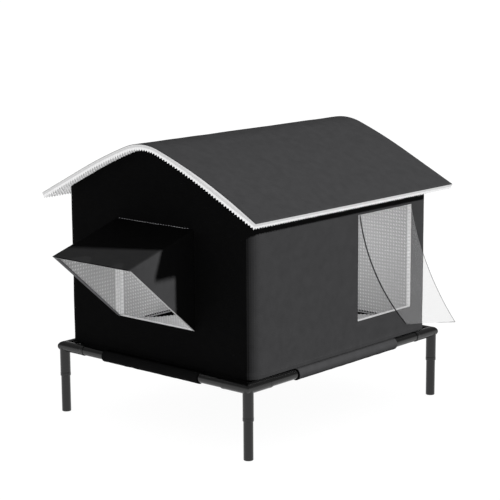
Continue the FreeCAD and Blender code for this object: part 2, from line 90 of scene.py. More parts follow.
# ---------------------------------------------------------------- materials
WAVES_PER_UNIT = 20


def shader_of(material):
    """The material's principled shader."""
    return material.node_tree.nodes["Principled BSDF"]


def new_material(name, color, roughness, specular):
    """A principled material with its constants set on the shader's own sockets."""
    material = bpy.data.materials.new(name)
    material.use_nodes = True
    inputs = shader_of(material).inputs
    inputs["Base Color"].default_value = (*color, 1)
    inputs["Roughness"].default_value = roughness
    inputs["Specular IOR Level"].default_value = specular
    return material


def link(material, source, output, target, socket):
    material.node_tree.links.new(source.outputs[output], target.inputs[socket])


def add_node(material, kind, feeds=None, **settings):
    """A node with properties or inputs set by name; feeds gives the (node, output) for each socket."""
    node = material.node_tree.nodes.new(kind)
    for key, value in settings.items():
        if hasattr(node, key):
            setattr(node, key, value)
        else:
            node.inputs[key.replace("_", " ")].default_value = value
    for socket, (source, output) in (feeds or {}).items():
        link(material, source, output, node, socket)
    return node


def noise_color(material, color, spread, scale):
    """Base colour that drifts by a share of itself, over patches of the given scale (per metre)."""
    coords = add_node(material, "ShaderNodeTexCoord")
    noise = add_node(material, "ShaderNodeTexNoise", {"Vector": (coords, "Object")},
                     Scale=scale, Detail=4.0, Roughness=0.6)
    ramp = add_node(material, "ShaderNodeValToRGB", {"Fac": (noise, "Fac")})
    low, high = ramp.color_ramp.elements
    low.position, high.position = 0.3, 0.7
    low.color = (*[c * (1 - spread) for c in color], 1)
    high.color = (*[min(1.0, c * (1 + spread)) for c in color], 1)
    link(material, ramp, "Color", shader_of(material), "Base Color")
    return coords


def add_bump(material, height, strength, distance):
    """Relief from a height, given as (node, output)."""
    bump = add_node(material, "ShaderNodeBump", {"Height": height}, Strength=strength, Distance=distance)
    link(material, bump, "Normal", shader_of(material), "Normal")


def weave_bump(material, coords, threads_per_metre, strength, distance):
    """Two crossed sets of threads in each axis plane, as bump."""
    total = None
    for direction in ("X", "Y", "Z"):
        wave = add_node(material, "ShaderNodeTexWave", {"Vector": (coords, "Object")},
                        Scale=threads_per_metre / WAVES_PER_UNIT, Distortion=0.6, Detail=1.0,
                        Detail_Scale=2.0, bands_direction=direction)
        height = (wave, "Fac")
        if total:
            height = (add_node(material, "ShaderNodeMath", {0: total, 1: height}, operation="ADD"), "Value")
        total = height
    add_bump(material, total, strength, distance)


def noise_bump(material, coords, scale, strength, distance):
    """Fine irregular relief."""
    noise = add_node(material, "ShaderNodeTexNoise", {"Vector": (coords, "Object")},
                     Scale=scale, Detail=3.0, Roughness=0.6)
    add_bump(material, (noise, "Fac"), strength, distance)


def fabric(name, level, tint=1.04):
    """Coated woven polyester: nearly black, with a fine weave and faint mottling."""
    color = (level, level, level * tint)
    material = new_material(name, color, roughness=0.85, specular=0.02)
    coords = noise_color(material, color, spread=0.10, scale=45)
    weave_bump(material, coords, threads_per_metre=1600, strength=0.25, distance=0.3 * MM)
    return material


def foil(name, level, valley_shade=0.84, crest_highlight=2.05):
    """Embossed foil laminate, satin, with small crinkles; its colour carries painted shade in the valleys and
    a painted highlight on the dots, stronger in random patches as a painted glint.
    """
    color = (level, level, level * 1.005)
    material = new_material(name, color, roughness=0.5, specular=0.35)
    coords = noise_color(material, color, spread=0.07, scale=160)
    noise_bump(material, coords, scale=420, strength=0.35, distance=0.5 * MM)
    shader = shader_of(material)
    mottled = shader.inputs["Base Color"].links[0].from_node
    # Painted light: each point's height up a dot scales the colour, darker in the valleys as painted shade
    # and lighter on the dots as a painted highlight.
    rise = add_node(material, "ShaderNodeAttribute", attribute_name="rise")
    # Random patches set how strongly the dots shine: a painted glint.
    patch = add_node(material, "ShaderNodeTexNoise", {"Vector": (coords, "Object")}, Scale=7.0, Detail=1.0)
    glint = add_node(material, "ShaderNodeMapRange", {"Value": (patch, "Fac")},
                     From_Min=0.38, From_Max=0.62, To_Min=0.5, To_Max=1.0)
    shine = add_node(material, "ShaderNodeMath", {0: (rise, "Fac"), 1: (glint, "Result")},
                     operation="MULTIPLY")
    ramp = add_node(material, "ShaderNodeMapRange", {"Value": (shine, "Value")}, To_Min=valley_shade, To_Max=crest_highlight)
    tint = add_node(material, "ShaderNodeVectorMath", {0: (mottled, "Color"), 1: (ramp, "Result")},
                    operation="MULTIPLY")
    link(material, tint, "Vector", shader, "Base Color")
    return material


def moulded(name, level, roughness, grain):
    """Satin moulded plastic or powder coat with a fine grain."""
    color = (level, level, level * 1.02)
    material = new_material(name, color, roughness, specular=0.5)
    coords = noise_color(material, color, spread=0.08, scale=90)
    noise_bump(material, coords, grain, strength=0.05, distance=0.2 * MM)
    return material


def clear_sheet(name, level, alpha):
    """Clear soft sheet with a slight haze and a glossy face."""
    color = (level, level, level * 1.01)
    material = new_material(name, color, roughness=0.12, specular=0.35)
    coords = noise_color(material, color, spread=0.05, scale=20)
    noise_bump(material, coords, scale=14, strength=0.06, distance=2 * MM)
    shader_of(material).inputs["Alpha"].default_value = alpha
    return material


WALL_FABRIC = fabric("wall_fabric", 0.0026)
# Painted shade: a darker copy of the wall fabric for the hood's upward faces, which look darker under the
# same light.
HOOD_TOP_SHADED_FABRIC = fabric("hood_top_shaded_fabric", 0.0018)
# Painted light: a lighter copy of the wall fabric for the roof, standing in for the extra sheen the upturned
# roof catches.
ROOF_LIT_FABRIC = fabric("roof_fabric", 0.0034)
DECK_FABRIC = fabric("deck_fabric", 0.0036)
THREAD = fabric("stitch_thread", 0.006)
PALE_THREAD = fabric("pale_thread", 0.35)
# Painted light: the binding is the black wall fabric painted grey for the light its folded edge catches from
# below.
LIT_BINDING = fabric("binding_tape", 0.1)
# The foils' last two numbers darken their valleys as painted shade and lighten their dots as a painted
# highlight.
FOIL = foil("dimpled_foil", 0.47)
EDGE_FOIL = foil("edge_foil", 0.86, valley_shade=0.72, crest_highlight=1.12)
ROOF_FOIL = foil("roof_foil", 0.86, valley_shade=0.92, crest_highlight=1.08)
FOAM_CORE = foil("foam_core", 0.6, valley_shade=1.0, crest_highlight=1.0)
FITTING = moulded("fitting_plastic", 0.0015, 0.2, 900)
TUBE = moulded("coated_tube", 0.0012, 0.15, 1400)
HOOK = fabric("hook_tape", 0.006)
CLEAR = clear_sheet("clear_sheet", 0.5, 0.14)
# Painted shade: a dark band round the flap's edges, standing in for how dark a clear sheet's edge looks seen
# edge-on.
CLEAR_EDGE = clear_sheet("clear_sheet_edge", 0.004, 0.9)
PALE_MATERIALS = (FOIL, EDGE_FOIL, ROOF_FOIL, PALE_THREAD, LIT_BINDING, CLEAR)
PALE = []


# ---------------------------------------------------------------- mesh helpers
def new_piece(name, surface, material, body="house"):
    """A piece that rides on a body. A vertex's fourth number, if any, is how far up a dot it lies."""
    vertices, faces = surface
    mesh = bpy.data.meshes.new(name)
    mesh.from_pydata([tuple(v)[:3] for v in vertices], [], [tuple(f) for f in faces])
    mesh.materials.append(material)
    if len(vertices[0]) > 3:
        rise = mesh.attributes.new("rise", "FLOAT", "POINT")
        rise.data.foreach_set("value", [float(v[3]) for v in vertices])
    tidy = bmesh.new()
    tidy.from_mesh(mesh)
    bmesh.ops.remove_doubles(tidy, verts=tidy.verts, dist=0.002 * MM)
    bmesh.ops.recalc_face_normals(tidy, faces=tidy.faces)
    tidy.to_mesh(mesh)
    tidy.free()
    mesh.shade_smooth()
    mesh.set_sharp_from_angle(angle=math.radians(50))
    piece = bpy.data.objects.new(name, mesh)
    if material in PALE_MATERIALS:
        PALE.append(piece)
    bpy.context.scene.collection.objects.link(piece)
    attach(piece, body)
    return piece


def shell(outer, inner, keep=None, wrap=False):
    """Vertices and quads of a closed shell between two grids of points, over the cells that keep marks."""
    count_u, count_v = outer.shape[:2]
    cells_u = count_u if wrap else count_u - 1
    if keep is None:
        keep = np.ones((cells_u, count_v - 1), bool)
    layer = count_u * count_v

    def index(side, i, j):
        return side * layer + (i % count_u) * count_v + j

    i, j = np.nonzero(keep)
    quads = [np.stack([index(0, i, j), index(0, i + 1, j), index(0, i + 1, j + 1), index(0, i, j + 1)], 1),
             np.stack([index(1, i, j), index(1, i, j + 1), index(1, i + 1, j + 1), index(1, i + 1, j)], 1)]
    padded = np.zeros((cells_u + 2, count_v + 1), bool)
    padded[1:-1, 1:-1] = keep
    if wrap:
        padded[0, 1:-1] = keep[-1]
        padded[-1, 1:-1] = keep[0]
    for step_u, step_v, first, last in ((-1, 0, (0, 1), (0, 0)), (1, 0, (1, 0), (1, 1)),
                                        (0, -1, (0, 0), (1, 0)), (0, 1, (1, 1), (0, 1))):
        bare = keep & ~padded[1 + step_u:1 + step_u + cells_u, 1 + step_v:step_v + count_v]
        i, j = np.nonzero(bare)
        quads.append(np.stack([index(0, i + first[0], j + first[1]), index(0, i + last[0], j + last[1]),
                               index(1, i + last[0], j + last[1]), index(1, i + first[0], j + first[1])], 1))
    faces = np.concatenate(quads)
    used, faces = np.unique(faces, return_inverse=True)
    size = outer.shape[-1]
    points = np.concatenate([outer.reshape(-1, size), inner.reshape(-1, size)])[used]
    return points, faces.reshape(-1, 4)


def dimpled(face, back, relief, keep=None, wrap=False):
    """A shell whose face has dots: its points carry how far up a dot they lie."""
    rise = relief[..., None] / DOT_HEIGHT
    return shell(np.append(face, rise, 2), np.append(back, rise * 0, 2), keep, wrap)


def foam_piece(name, node, face, back, relief, keep=None):
    """A padded foam board with dots on its face, in the place of a node."""
    piece = new_piece(name, dimpled(face, back, relief, keep), FOIL)
    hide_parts(node)


def paint(piece, material, chosen):
    """Give a second material to the faces whose centre and normal are chosen."""
    piece.data.materials.append(material)
    slot = len(piece.data.materials) - 1
    for face in piece.data.polygons:
        if chosen(face.center, face.normal):
            face.material_index = slot


def joined(parts):
    """Several surfaces, each (vertices, faces), as one."""
    vertices, faces = [], []
    for points, quads in parts:
        offset = len(vertices)
        vertices.extend(tuple(p) for p in points)
        faces.extend(tuple(int(k) + offset for k in quad) for quad in quads)
    return vertices, faces


def grid_lines(breaks, step):
    """Ordered positions from the first to the last break, through every break, about step apart."""
    lines = [breaks[0]]
    for low, high in zip(breaks[:-1], breaks[1:]):
        cells = max(1, round((high - low) / step))
        lines.extend(low + (high - low) * k / cells for k in range(1, cells + 1))
    return np.array(lines)


def dot_lines(low, high, snaps=()):
    """Grid lines a third of the dot pitch apart, with the nearest lines moved onto the snap positions."""
    dots = max(1, round((high - low) / DOT_PITCH))
    lines = np.linspace(low, high, dots * 3 + 1)
    for snap in snaps:
        lines[np.argmin(abs(lines - snap))] = snap
    return lines


def dots(count_u, count_v, seed, start=1, lines=1):
    """Height of raised dots, each over one or two of every three grid lines both ways."""
    rng = np.random.default_rng(seed)
    line_u, line_v = np.arange(count_u) - start, np.arange(count_v) - start
    heights = DOT_HEIGHT * rng.uniform(0.78, 1.1, (count_u // 3 + 2, count_v // 3 + 2))
    raised = np.outer(line_u % 3 < lines, line_v % 3 < lines)
    return heights[np.ix_(line_u // 3 + 1, line_v // 3 + 1)] * raised


def ripple(a, b, seed, amplitude, wavelength):
    """A smooth random relief over two coordinates, as a sum of plane waves."""
    rng = np.random.default_rng(seed)
    total = np.zeros(np.broadcast(a, b).shape)
    for _ in range(9):
        angle = rng.uniform(0, math.pi)
        number = 2 * math.pi / (wavelength * rng.uniform(0.6, 1.7))
        phase = rng.uniform(0, 2 * math.pi)
        total = total + np.sin(number * (a * math.cos(angle) + b * math.sin(angle)) + phase)
    return total * amplitude / 3


# ---------------------------------------------------------------- roof line
BELLY_X = (RIDGE_RADIUS - BELLY_RADIUS) * math.sin(RIDGE_ANGLE)
BELLY_Z = RIDGE_Z - RIDGE_RADIUS + (RIDGE_RADIUS - BELLY_RADIUS) * math.cos(RIDGE_ANGLE)
RIDGE_RUN = RIDGE_RADIUS * RIDGE_ANGLE
BELLY_RUN = BELLY_RADIUS * (ROOF_PITCH - RIDGE_ANGLE)
STRAIGHT_START = BELLY_X + BELLY_RADIUS * math.sin(ROOF_PITCH)
STRAIGHT_RUN = (ROOF_X - STRAIGHT_START) / math.cos(ROOF_PITCH)
ROOF_RUN = RIDGE_RUN + BELLY_RUN + STRAIGHT_RUN


def roof_point(run, depth):
    """(x, z) at a run along the roof's outer face from the ridge, at a depth below it."""
    side = 1 if run >= 0 else -1
    run = abs(run)
    if run <= RIDGE_RUN:
        angle = run / RIDGE_RADIUS
        radius = RIDGE_RADIUS - depth
        return side * radius * math.sin(angle), RIDGE_Z - RIDGE_RADIUS + radius * math.cos(angle)
    angle = min(ROOF_PITCH, RIDGE_ANGLE + (run - RIDGE_RUN) / BELLY_RADIUS)
    radius = BELLY_RADIUS - depth
    x = BELLY_X + radius * math.sin(angle)
    z = BELLY_Z + radius * math.cos(angle)
    rest = max(0.0, run - RIDGE_RUN - BELLY_RUN)
    return side * (x + rest * math.cos(ROOF_PITCH)), z - rest * math.sin(ROOF_PITCH)


def roof_height(x, depth):
    """Height of the roof's layer at a depth below its outer face, above the place x."""
    x = abs(x)
    ridge = RIDGE_RADIUS - depth
    if x <= ridge * math.sin(RIDGE_ANGLE):
        return RIDGE_Z - RIDGE_RADIUS + math.sqrt(ridge ** 2 - x ** 2)
    belly = BELLY_RADIUS - depth
    end_x = BELLY_X + belly * math.sin(ROOF_PITCH)
    if x <= end_x:
        return BELLY_Z + math.sqrt(belly ** 2 - (x - BELLY_X) ** 2)
    return BELLY_Z + belly * math.cos(ROOF_PITCH) - (x - end_x) * math.tan(ROOF_PITCH)


# ---------------------------------------------------------------- house outline
FLAT_X = WALL_X - CORNER_RADIUS
FLAT_Y = WALL_Y - CORNER_RADIUS
ARC = CORNER_RADIUS * math.pi / 2
RIGHT_START = FLAT_X + ARC
REAR_START = RIGHT_START + 2 * FLAT_Y + ARC
LEFT_START = REAR_START + 2 * FLAT_X + ARC
ROUND = LEFT_START + 2 * FLAT_Y + ARC + FLAT_X


def outline_point(u):
    """(x, y, normal x, normal y) of the house's outer face, u along it from the middle of the front gable."""
    u = u % ROUND
    corners = ((FLAT_X, -FLAT_Y, -90, FLAT_X), (FLAT_X, FLAT_Y, 0, REAR_START - ARC),
               (-FLAT_X, FLAT_Y, 90, LEFT_START - ARC), (-FLAT_X, -FLAT_Y, 180, ROUND - FLAT_X - ARC))
    for centre_x, centre_y, start, begin in corners:
        if begin <= u <= begin + ARC:
            angle = math.radians(start) + (u - begin) / CORNER_RADIUS
            nx, ny = math.cos(angle), math.sin(angle)
            return centre_x + CORNER_RADIUS * nx, centre_y + CORNER_RADIUS * ny, nx, ny
    if u < FLAT_X:
        return u, -WALL_Y, 0, -1
    if u < REAR_START - ARC:
        return WALL_X, -FLAT_Y + u - RIGHT_START, 1, 0
    if u < LEFT_START - ARC:
        return FLAT_X - (u - REAR_START), WALL_Y, 0, 1
    if u < ROUND - FLAT_X - ARC:
        return -WALL_X, FLAT_Y - (u - LEFT_START), -1, 0
    return u - ROUND, -WALL_Y, 0, -1


def wall_grids(lines_u, lines_z, top_depth, outer_inset, inner_inset, relief):
    """Outer and inner point grids over the outline, clipped under the roof, and the cells left below it."""
    count = (len(lines_u), len(lines_z))
    outer = np.zeros((*count, 3))
    inner = np.zeros((*count, 3))
    heights = np.zeros(count)
    for i, u in enumerate(lines_u):
        x, y, nx, ny = outline_point(u)
        inner_x = x - nx * inner_inset
        top = roof_height(max(abs(x - nx * outer_inset), abs(inner_x)), top_depth)
        z = np.minimum(lines_z, top)
        heights[i] = z
        out = -outer_inset + relief[i]
        outer[i] = np.stack([x + nx * out, y + ny * out, z], 1)
        inner[i] = np.stack([np.full_like(z, inner_x), np.full_like(z, y - ny * inner_inset), z], 1)
    low = np.minimum(heights[:-1, :-1], heights[1:, :-1])
    tall = np.maximum(heights[:-1, 1:], heights[1:, 1:])
    return outer, inner, tall - low > SPECK


def drop_hole(keep, lines_u, lines_z, low_u, high_u, low_z, high_z):
    """Unmark the cells inside a doorway."""
    mid_u = (lines_u[:-1] + lines_u[1:]) / 2
    mid_z = (lines_z[:-1] + lines_z[1:]) / 2
    inside = np.outer((mid_u > low_u) & (mid_u < high_u), (mid_z > low_z) & (mid_z < high_z))
    keep &= ~inside


SIDE_U_NEAR = RIGHT_START + FLAT_Y + SIDE_DOOR_NEAR
SIDE_U_FAR = RIGHT_START + FLAT_Y + SIDE_DOOR_FAR
AREA_STEPS = 2000


def outer_cover():
    """The fabric skin over all four walls, slightly uneven, with a turned hem at its foot."""
    breaks_u = [-FRONT_DOOR_X, FRONT_DOOR_X, FLAT_X, RIGHT_START, SIDE_U_NEAR, SIDE_U_FAR, REAR_START - ARC,
                REAR_START, LEFT_START - ARC, LEFT_START, ROUND - FLAT_X - ARC, ROUND - FLAT_X,
                ROUND - FRONT_DOOR_X]
    lines_u = grid_lines(breaks_u, 7 * MM)[:-1]
    breaks_z = sorted({HOUSE_BASE, HOUSE_BASE + 11 * MM, HOUSE_BASE + 12.5 * MM, SIDE_DOOR_LOW,
                       FRONT_DOOR_LOW, FRONT_DOOR_TOP, SIDE_DOOR_TOP, RIDGE_Z})
    lines_z = grid_lines(breaks_z, 7 * MM)
    mesh_u, mesh_z = np.meshgrid(lines_u, lines_z, indexing="ij")
    relief = ripple(mesh_u, mesh_z, 11, 0.22 * MM, 90 * MM)
    relief[:, lines_z < HOUSE_BASE + 11.5 * MM] += 0.25 * MM
    closed_u = np.append(lines_u, lines_u[0] + ROUND)
    closed_relief = np.vstack([relief, relief[:1]])
    outer, inner, keep = wall_grids(closed_u, lines_z, WALL_TOP_DEPTH, 0, COVER, closed_relief)
    drop_hole(keep, closed_u, lines_z, -FRONT_DOOR_X, FRONT_DOOR_X, FRONT_DOOR_LOW, FRONT_DOOR_TOP)
    drop_hole(keep, closed_u, lines_z, SIDE_U_NEAR, SIDE_U_FAR, SIDE_DOOR_LOW, SIDE_DOOR_TOP)
    piece = new_piece("wall_cover_fabric", shell(outer[:-1], inner[:-1], keep, wrap=True), WALL_FABRIC)
    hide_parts("outer_cover")
    steps = np.linspace(0, ROUND, AREA_STEPS, endpoint=False)
    heights = [roof_height(outline_point(u)[0], WALL_TOP_DEPTH) - HOUSE_BASE for u in steps]
    area = sum(heights) * ROUND / AREA_STEPS
    area -= 2 * FRONT_DOOR_X * (FRONT_DOOR_TOP - FRONT_DOOR_LOW)
    area -= (SIDE_DOOR_FAR - SIDE_DOOR_NEAR) * (SIDE_DOOR_TOP - SIDE_DOOR_LOW)


def foam_wall(name, node, low_u, high_u, seed, top_depth, hole=None):
    """A foam wall panel with its dimpled foil face towards the room."""
    snaps_u = hole[:2] if hole else ()
    snaps_z = hole[2:] if hole else ()
    lines_u = dot_lines(low_u, high_u, snaps_u)
    lines_z = dot_lines(HOUSE_BASE, RIDGE_Z, snaps_z)
    relief = dots(len(lines_u), len(lines_z), seed) * (lines_z > FLOOR_HIGH[2] + 1 * MM)
    face, back, keep = wall_grids(lines_u, lines_z, top_depth, WALL, COVER, -relief)
    if hole:
        drop_hole(keep, lines_u, lines_z, *hole)
    foam_piece(name, node, face, back, relief, keep)


def foam_walls():
    """The four foam panels, split as the real ones are."""
    edge = STRIP
    side_depth = WALL_TOP_DEPTH + SIDE_STRIP_DROP
    foam_wall("front_wall_foam", "front_wall_panel", -RIGHT_START, RIGHT_START, 1, WALL_TOP_DEPTH,
              (-FRONT_DOOR_X - edge, FRONT_DOOR_X + edge, FRONT_DOOR_LOW - edge, FRONT_DOOR_TOP + edge))
    foam_wall("rear_wall_foam", "rear_wall_panel", REAR_START - ARC, LEFT_START, 2, WALL_TOP_DEPTH)
    foam_wall("left_wall_foam", "left_wall_panel", LEFT_START, LEFT_START + 2 * FLAT_Y, 3, side_depth)
    foam_wall("right_wall_foam", "right_wall_panel", RIGHT_START, RIGHT_START + 2 * FLAT_Y, 4, side_depth,
              (SIDE_U_NEAR - edge, SIDE_U_FAR + edge, SIDE_DOOR_LOW - edge, SIDE_DOOR_TOP + edge))


def turned_hem():
    """The cover's hem, turned in under the foam walls and up their inner faces behind the floor mat."""
    breaks_u = [0, FLAT_X, RIGHT_START, REAR_START - ARC, REAR_START, LEFT_START - ARC, LEFT_START,
                ROUND - FLAT_X - ARC, ROUND - FLAT_X, ROUND]
    lines_u = grid_lines(breaks_u, 10 * MM)[:-1]
    lines_z = grid_lines([HOUSE_BASE, FLOOR_HIGH[2] - 1 * MM], 4 * MM)
    layers = []
    for inset in (WALL + 0.1 * MM, WALL + 0.7 * MM):
        layer = np.zeros((len(lines_u), len(lines_z), 3))
        for i, u in enumerate(lines_u):
            x, y, nx, ny = outline_point(u)
            layer[i, :, 0], layer[i, :, 1], layer[i, :, 2] = x - nx * inset, y - ny * inset, lines_z
        layers.append(layer)
    new_piece("wall_cover_turned_hem", shell(*layers, wrap=True), WALL_FABRIC)


# ---------------------------------------------------------------- floor and deck
FLOOR_GAP_DEPTH = 48 * MM
FLOOR_GAP_HALF = 125 * MM
LEFT_GAP_Y = 44 * MM
REAR_GAP_X = 20 * MM


def bow(distance):
    """Depth of a bowed gap at a distance from its middle."""
    radius = (FLOOR_GAP_HALF ** 2 + FLOOR_GAP_DEPTH ** 2) / (2 * FLOOR_GAP_DEPTH)
    offset = np.minimum(abs(distance), FLOOR_GAP_HALF)
    return np.sqrt(radius ** 2 - offset ** 2) - (radius - FLOOR_GAP_DEPTH)


def floor_mat():
    """The loose foam floor with its dimpled face up and two bowed gaps at its edges."""
    low_x, low_y, _ = FLOOR_LOW
    high_x, high_y, high_z = FLOOR_HIGH
    lines_x = dot_lines(low_x, high_x)
    lines_y = dot_lines(low_y, high_y)
    x, y = np.meshgrid(lines_x, lines_y, indexing="ij")
    relief = dots(*x.shape, 5)
    radius = CORNER_RADIUS - WALL - (WALL_X - WALL - high_x)
    near_end = np.maximum(0, abs(y) - (high_y - radius))
    round_off = radius - np.sqrt(np.maximum(0, radius ** 2 - near_end ** 2))
    least_x = low_x + np.maximum(bow(y - LEFT_GAP_Y), round_off)
    most_x = high_x - round_off
    x = np.clip(x, least_x, most_x)
    y = np.minimum(y, high_y - bow(x - REAR_GAP_X))
    top = np.stack([x, y, high_z + relief], 2)
    bottom = np.stack([x, y, np.full_like(x, HOUSE_BASE)], 2)
    foam_piece("floor_mat_foam", "floor_panel", top, bottom, relief)


DECK_LOW, DECK_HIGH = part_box("deck_sheet")
DECK_CORNER = 40 * MM
DECK_THICKNESS = 1.3 * MM
HEM_WIDTH = 6 * MM
HEM_DEPTH = DECK_HIGH[2] - DECK_LOW[2]


def deck_edge(step):
    """(x, y, normal x, normal y) round the deck's edge, about step apart on the straights."""
    flat_x, flat_y = DECK_HIGH[0] - DECK_CORNER, DECK_HIGH[1] - DECK_CORNER
    points = []
    for quarter, (sign_x, sign_y) in enumerate(((1, -1), (1, 1), (-1, 1), (-1, -1))):
        for turn in np.linspace(-90, 0, 13) + 90 * quarter:
            nx, ny = math.cos(math.radians(turn)), math.sin(math.radians(turn))
            points.append((sign_x * flat_x + DECK_CORNER * nx, sign_y * flat_y + DECK_CORNER * ny, nx, ny))
    edge = []
    for here, after in zip(points, points[1:] + points[:1]):
        count = max(1, round(math.hypot(after[0] - here[0], after[1] - here[1]) / step))
        edge += [tuple(a + (b - a) * k / count for a, b in zip(here, after)) for k in range(count)]
    return edge


def deck_hem():
    """Vertices and quads of the deck's edge, rolled under into a soft hem."""
    turns = np.arange(16) * math.pi / 8
    across = np.sign(np.cos(turns)) * abs(np.cos(turns)) ** 0.6 * HEM_WIDTH / 2
    deep = HEM_DEPTH - DECK_THICKNESS
    rise = np.sign(np.sin(turns)) * abs(np.sin(turns)) ** 0.6 * deep / 2 - DECK_THICKNESS - deep / 2
    edge = deck_edge(10 * MM)
    vertices = []
    for x, y, nx, ny in edge:
        slack = 0.3 * MM * math.sin(x * 70 + y * 50)
        for a, b in zip(across, rise):
            out = a - HEM_WIDTH / 2
            drop = slack if b < -deep / 2 else 0.0
            vertices.append((x + nx * out, y + ny * out, DECK_HIGH[2] + b + abs(drop)))
    count, ring = len(edge), len(turns)
    faces = [(i * ring + j, (i + 1) % count * ring + j, (i + 1) % count * ring + (j + 1) % ring,
              i * ring + (j + 1) % ring) for i in range(count) for j in range(ring)]
    return vertices, faces


def deck():
    """The stretched deck sheet, drawn a little slack between its tabs, with a rolled hem."""
    reach_x, reach_y = DECK_HIGH[0], DECK_HIGH[1]
    flat_y = reach_y - DECK_CORNER
    arc = flat_y + DECK_CORNER * np.sin(np.linspace(0, math.pi / 2, 13)[1:])
    lines_y = np.concatenate([-arc[::-1], grid_lines([-flat_y, flat_y], 12 * MM), arc])
    lines_x = grid_lines([-reach_x, reach_x], 12 * MM)
    x, y = np.meshgrid(lines_x, lines_y, indexing="ij")
    beyond = np.clip(abs(y) - flat_y, 0, DECK_CORNER)
    x = x * (reach_x - DECK_CORNER + np.sqrt(DECK_CORNER ** 2 - beyond ** 2)) / reach_x
    slack = 1.4 * MM + ripple(x, y, 21, 0.25 * MM, 110 * MM)
    sag = slack * np.cos(x / reach_x * math.pi / 2) * np.cos(y / reach_y * math.pi / 2)
    top = np.stack([x, y, DECK_HIGH[2] - sag], 2)
    bottom = np.stack([x, y, DECK_HIGH[2] - DECK_THICKNESS - sag], 2)
    piece = new_piece("deck_fabric_sheet", joined([shell(top, bottom), deck_hem()]), DECK_FABRIC)
    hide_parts("deck_sheet")


# ---------------------------------------------------------------- rail sleeves
SLEEVE_BORE = TUBE_RADIUS + 0.2 * MM
TAB_REACH = RAIL_X - DECK_HIGH[0]


def sleeve(side):
    """A fabric pocket round a rail, creased along its length, with its tab towards the deck."""
    node = side + "_rail_sleeve"
    low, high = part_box(node)
    across = side in ("front", "rear")
    half = (high[0] - low[0]) / 2 if across else (high[1] - low[1]) / 2
    sign = -1 if side in ("front", "left") else 1
    hem = 9 * MM
    lines_v = grid_lines([-half, -half + 1 * MM, -half + hem, -half + hem + 1 * MM, half - hem - 1 * MM,
                          half - hem, half - 1 * MM, half], 6 * MM)
    angles = np.linspace(0, 2 * math.pi, 73)[:-1]
    angle, v = np.meshgrid(angles, lines_v, indexing="ij")
    seed = {"front": 31, "rear": 32, "left": 33, "right": 34}[side]
    crease = ripple(angle * 4 * MM, v * 0.3, seed, 0.22 * MM, 9 * MM)
    radius = SLEEVE_RADIUS - 0.25 * MM + crease
    from_end = half - abs(v)
    radius = np.where(from_end < hem + 0.5 * MM, SLEEVE_RADIUS + 0.1 * MM + crease * 0.5, radius)
    radius = np.where(from_end < 0.5 * MM, SLEEVE_RADIUS - 1.6 * MM, radius)

    def place(a, b, along):
        """From the rail's own section, a outwards and b up, to the row frame."""
        if across:
            return np.stack([along, sign * (RAIL_Y + a), RAIL_Z + b], 2)
        return np.stack([sign * (RAIL_X + a), along, RAIL_Z + b], 2)

    flat = HOUSE_BASE - RAIL_Z
    outer = place(radius * np.cos(angle), np.minimum(radius * np.sin(angle), flat), v)
    bore = np.full_like(radius, SLEEVE_BORE)
    inner = place(bore * np.cos(angle), bore * np.sin(angle), v)
    tube = shell(outer, inner, wrap=True)
    tab_v = grid_lines([-half + 2.4 * MM, half - 2.4 * MM], 8 * MM)
    tab_a = grid_lines([-TAB_REACH, -TAB_REACH + 8 * MM, 0], 5 * MM)
    a, v = np.meshgrid(tab_a, tab_v, indexing="ij")
    top = place(a, np.full_like(a, flat), v)
    bottom = place(a, flat - DECK_THICKNESS + ripple(a, v, seed, 0.1 * MM, 60 * MM), v)
    piece = new_piece(side + "_sleeve_fabric", joined([tube, shell(top, bottom)]), DECK_FABRIC)
    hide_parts(node)


# ---------------------------------------------------------------- hood
HOOD_REACH = -WALL_Y - HOOD_FRONT
HOOD_SLOPE = math.atan2(HOOD_DROP, HOOD_REACH)


def hood_top(y):
    """Height of the hood's upper face above the place y."""
    return FRONT_DOOR_TOP + (y + WALL_Y) / HOOD_REACH * HOOD_DROP


def hood_edge(y):
    """Height of the gussets' sloping lower edge at the place y."""
    front = FRONT_DOOR_TOP - HOOD_DROP
    return FRONT_DOOR_LOW - (y + WALL_Y) / HOOD_REACH * (front - FRONT_DOOR_LOW)


def hood_cover():
    """One fabric skin: up the left gusset, over the top and down the right gusset; its upward faces get
    painted shade.
    """
    fold = 3.5 * MM
    stations = grid_lines([-WALL_Y, HOOD_FRONT], 7 * MM)
    sides = np.linspace(0, 1, 25)
    arc = np.linspace(0, math.pi / 2, 6)[1:-1]
    tops = np.linspace(-1, 1, 35)
    layers = ([], [])
    for y in stations:
        top = hood_top(y)
        low = min(hood_edge(y), top)
        round_fold = min(fold, max(0.0, (top - low) * 0.8))
        for layer, inset in zip(layers, (0, HOOD_COVER)):
            half = HOOD_X - inset
            radius = max(0.0, round_fold - inset)
            high = top - inset
            left = [(-half, low + (high - radius - low) * s) for s in sides]
            left += [(-half + radius - radius * math.cos(a), high - radius + radius * math.sin(a))
                     for a in arc]
            middle = [(t * (half - radius), high) for t in tops]
            right = [(-x, z) for x, z in reversed(left)]
            layer.append([(x, y, max(z, low)) for x, z in left + middle + right])
    outer, inner = map(np.array, layers)
    relief = ripple(outer[..., 1], outer[..., 0] + outer[..., 2], 41, 0.18 * MM, 80 * MM)
    outer[..., 2] += np.where(abs(outer[..., 0]) < HOOD_X - fold, relief, 0)
    piece = new_piece("hood_cover_fabric", shell(outer, inner), WALL_FABRIC)
    # The upward faces take the darker copy of the fabric: painted shade.
    paint(piece, HOOD_TOP_SHADED_FABRIC, lambda centre, normal: normal.z > 0.8)
    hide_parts("hood_cover")


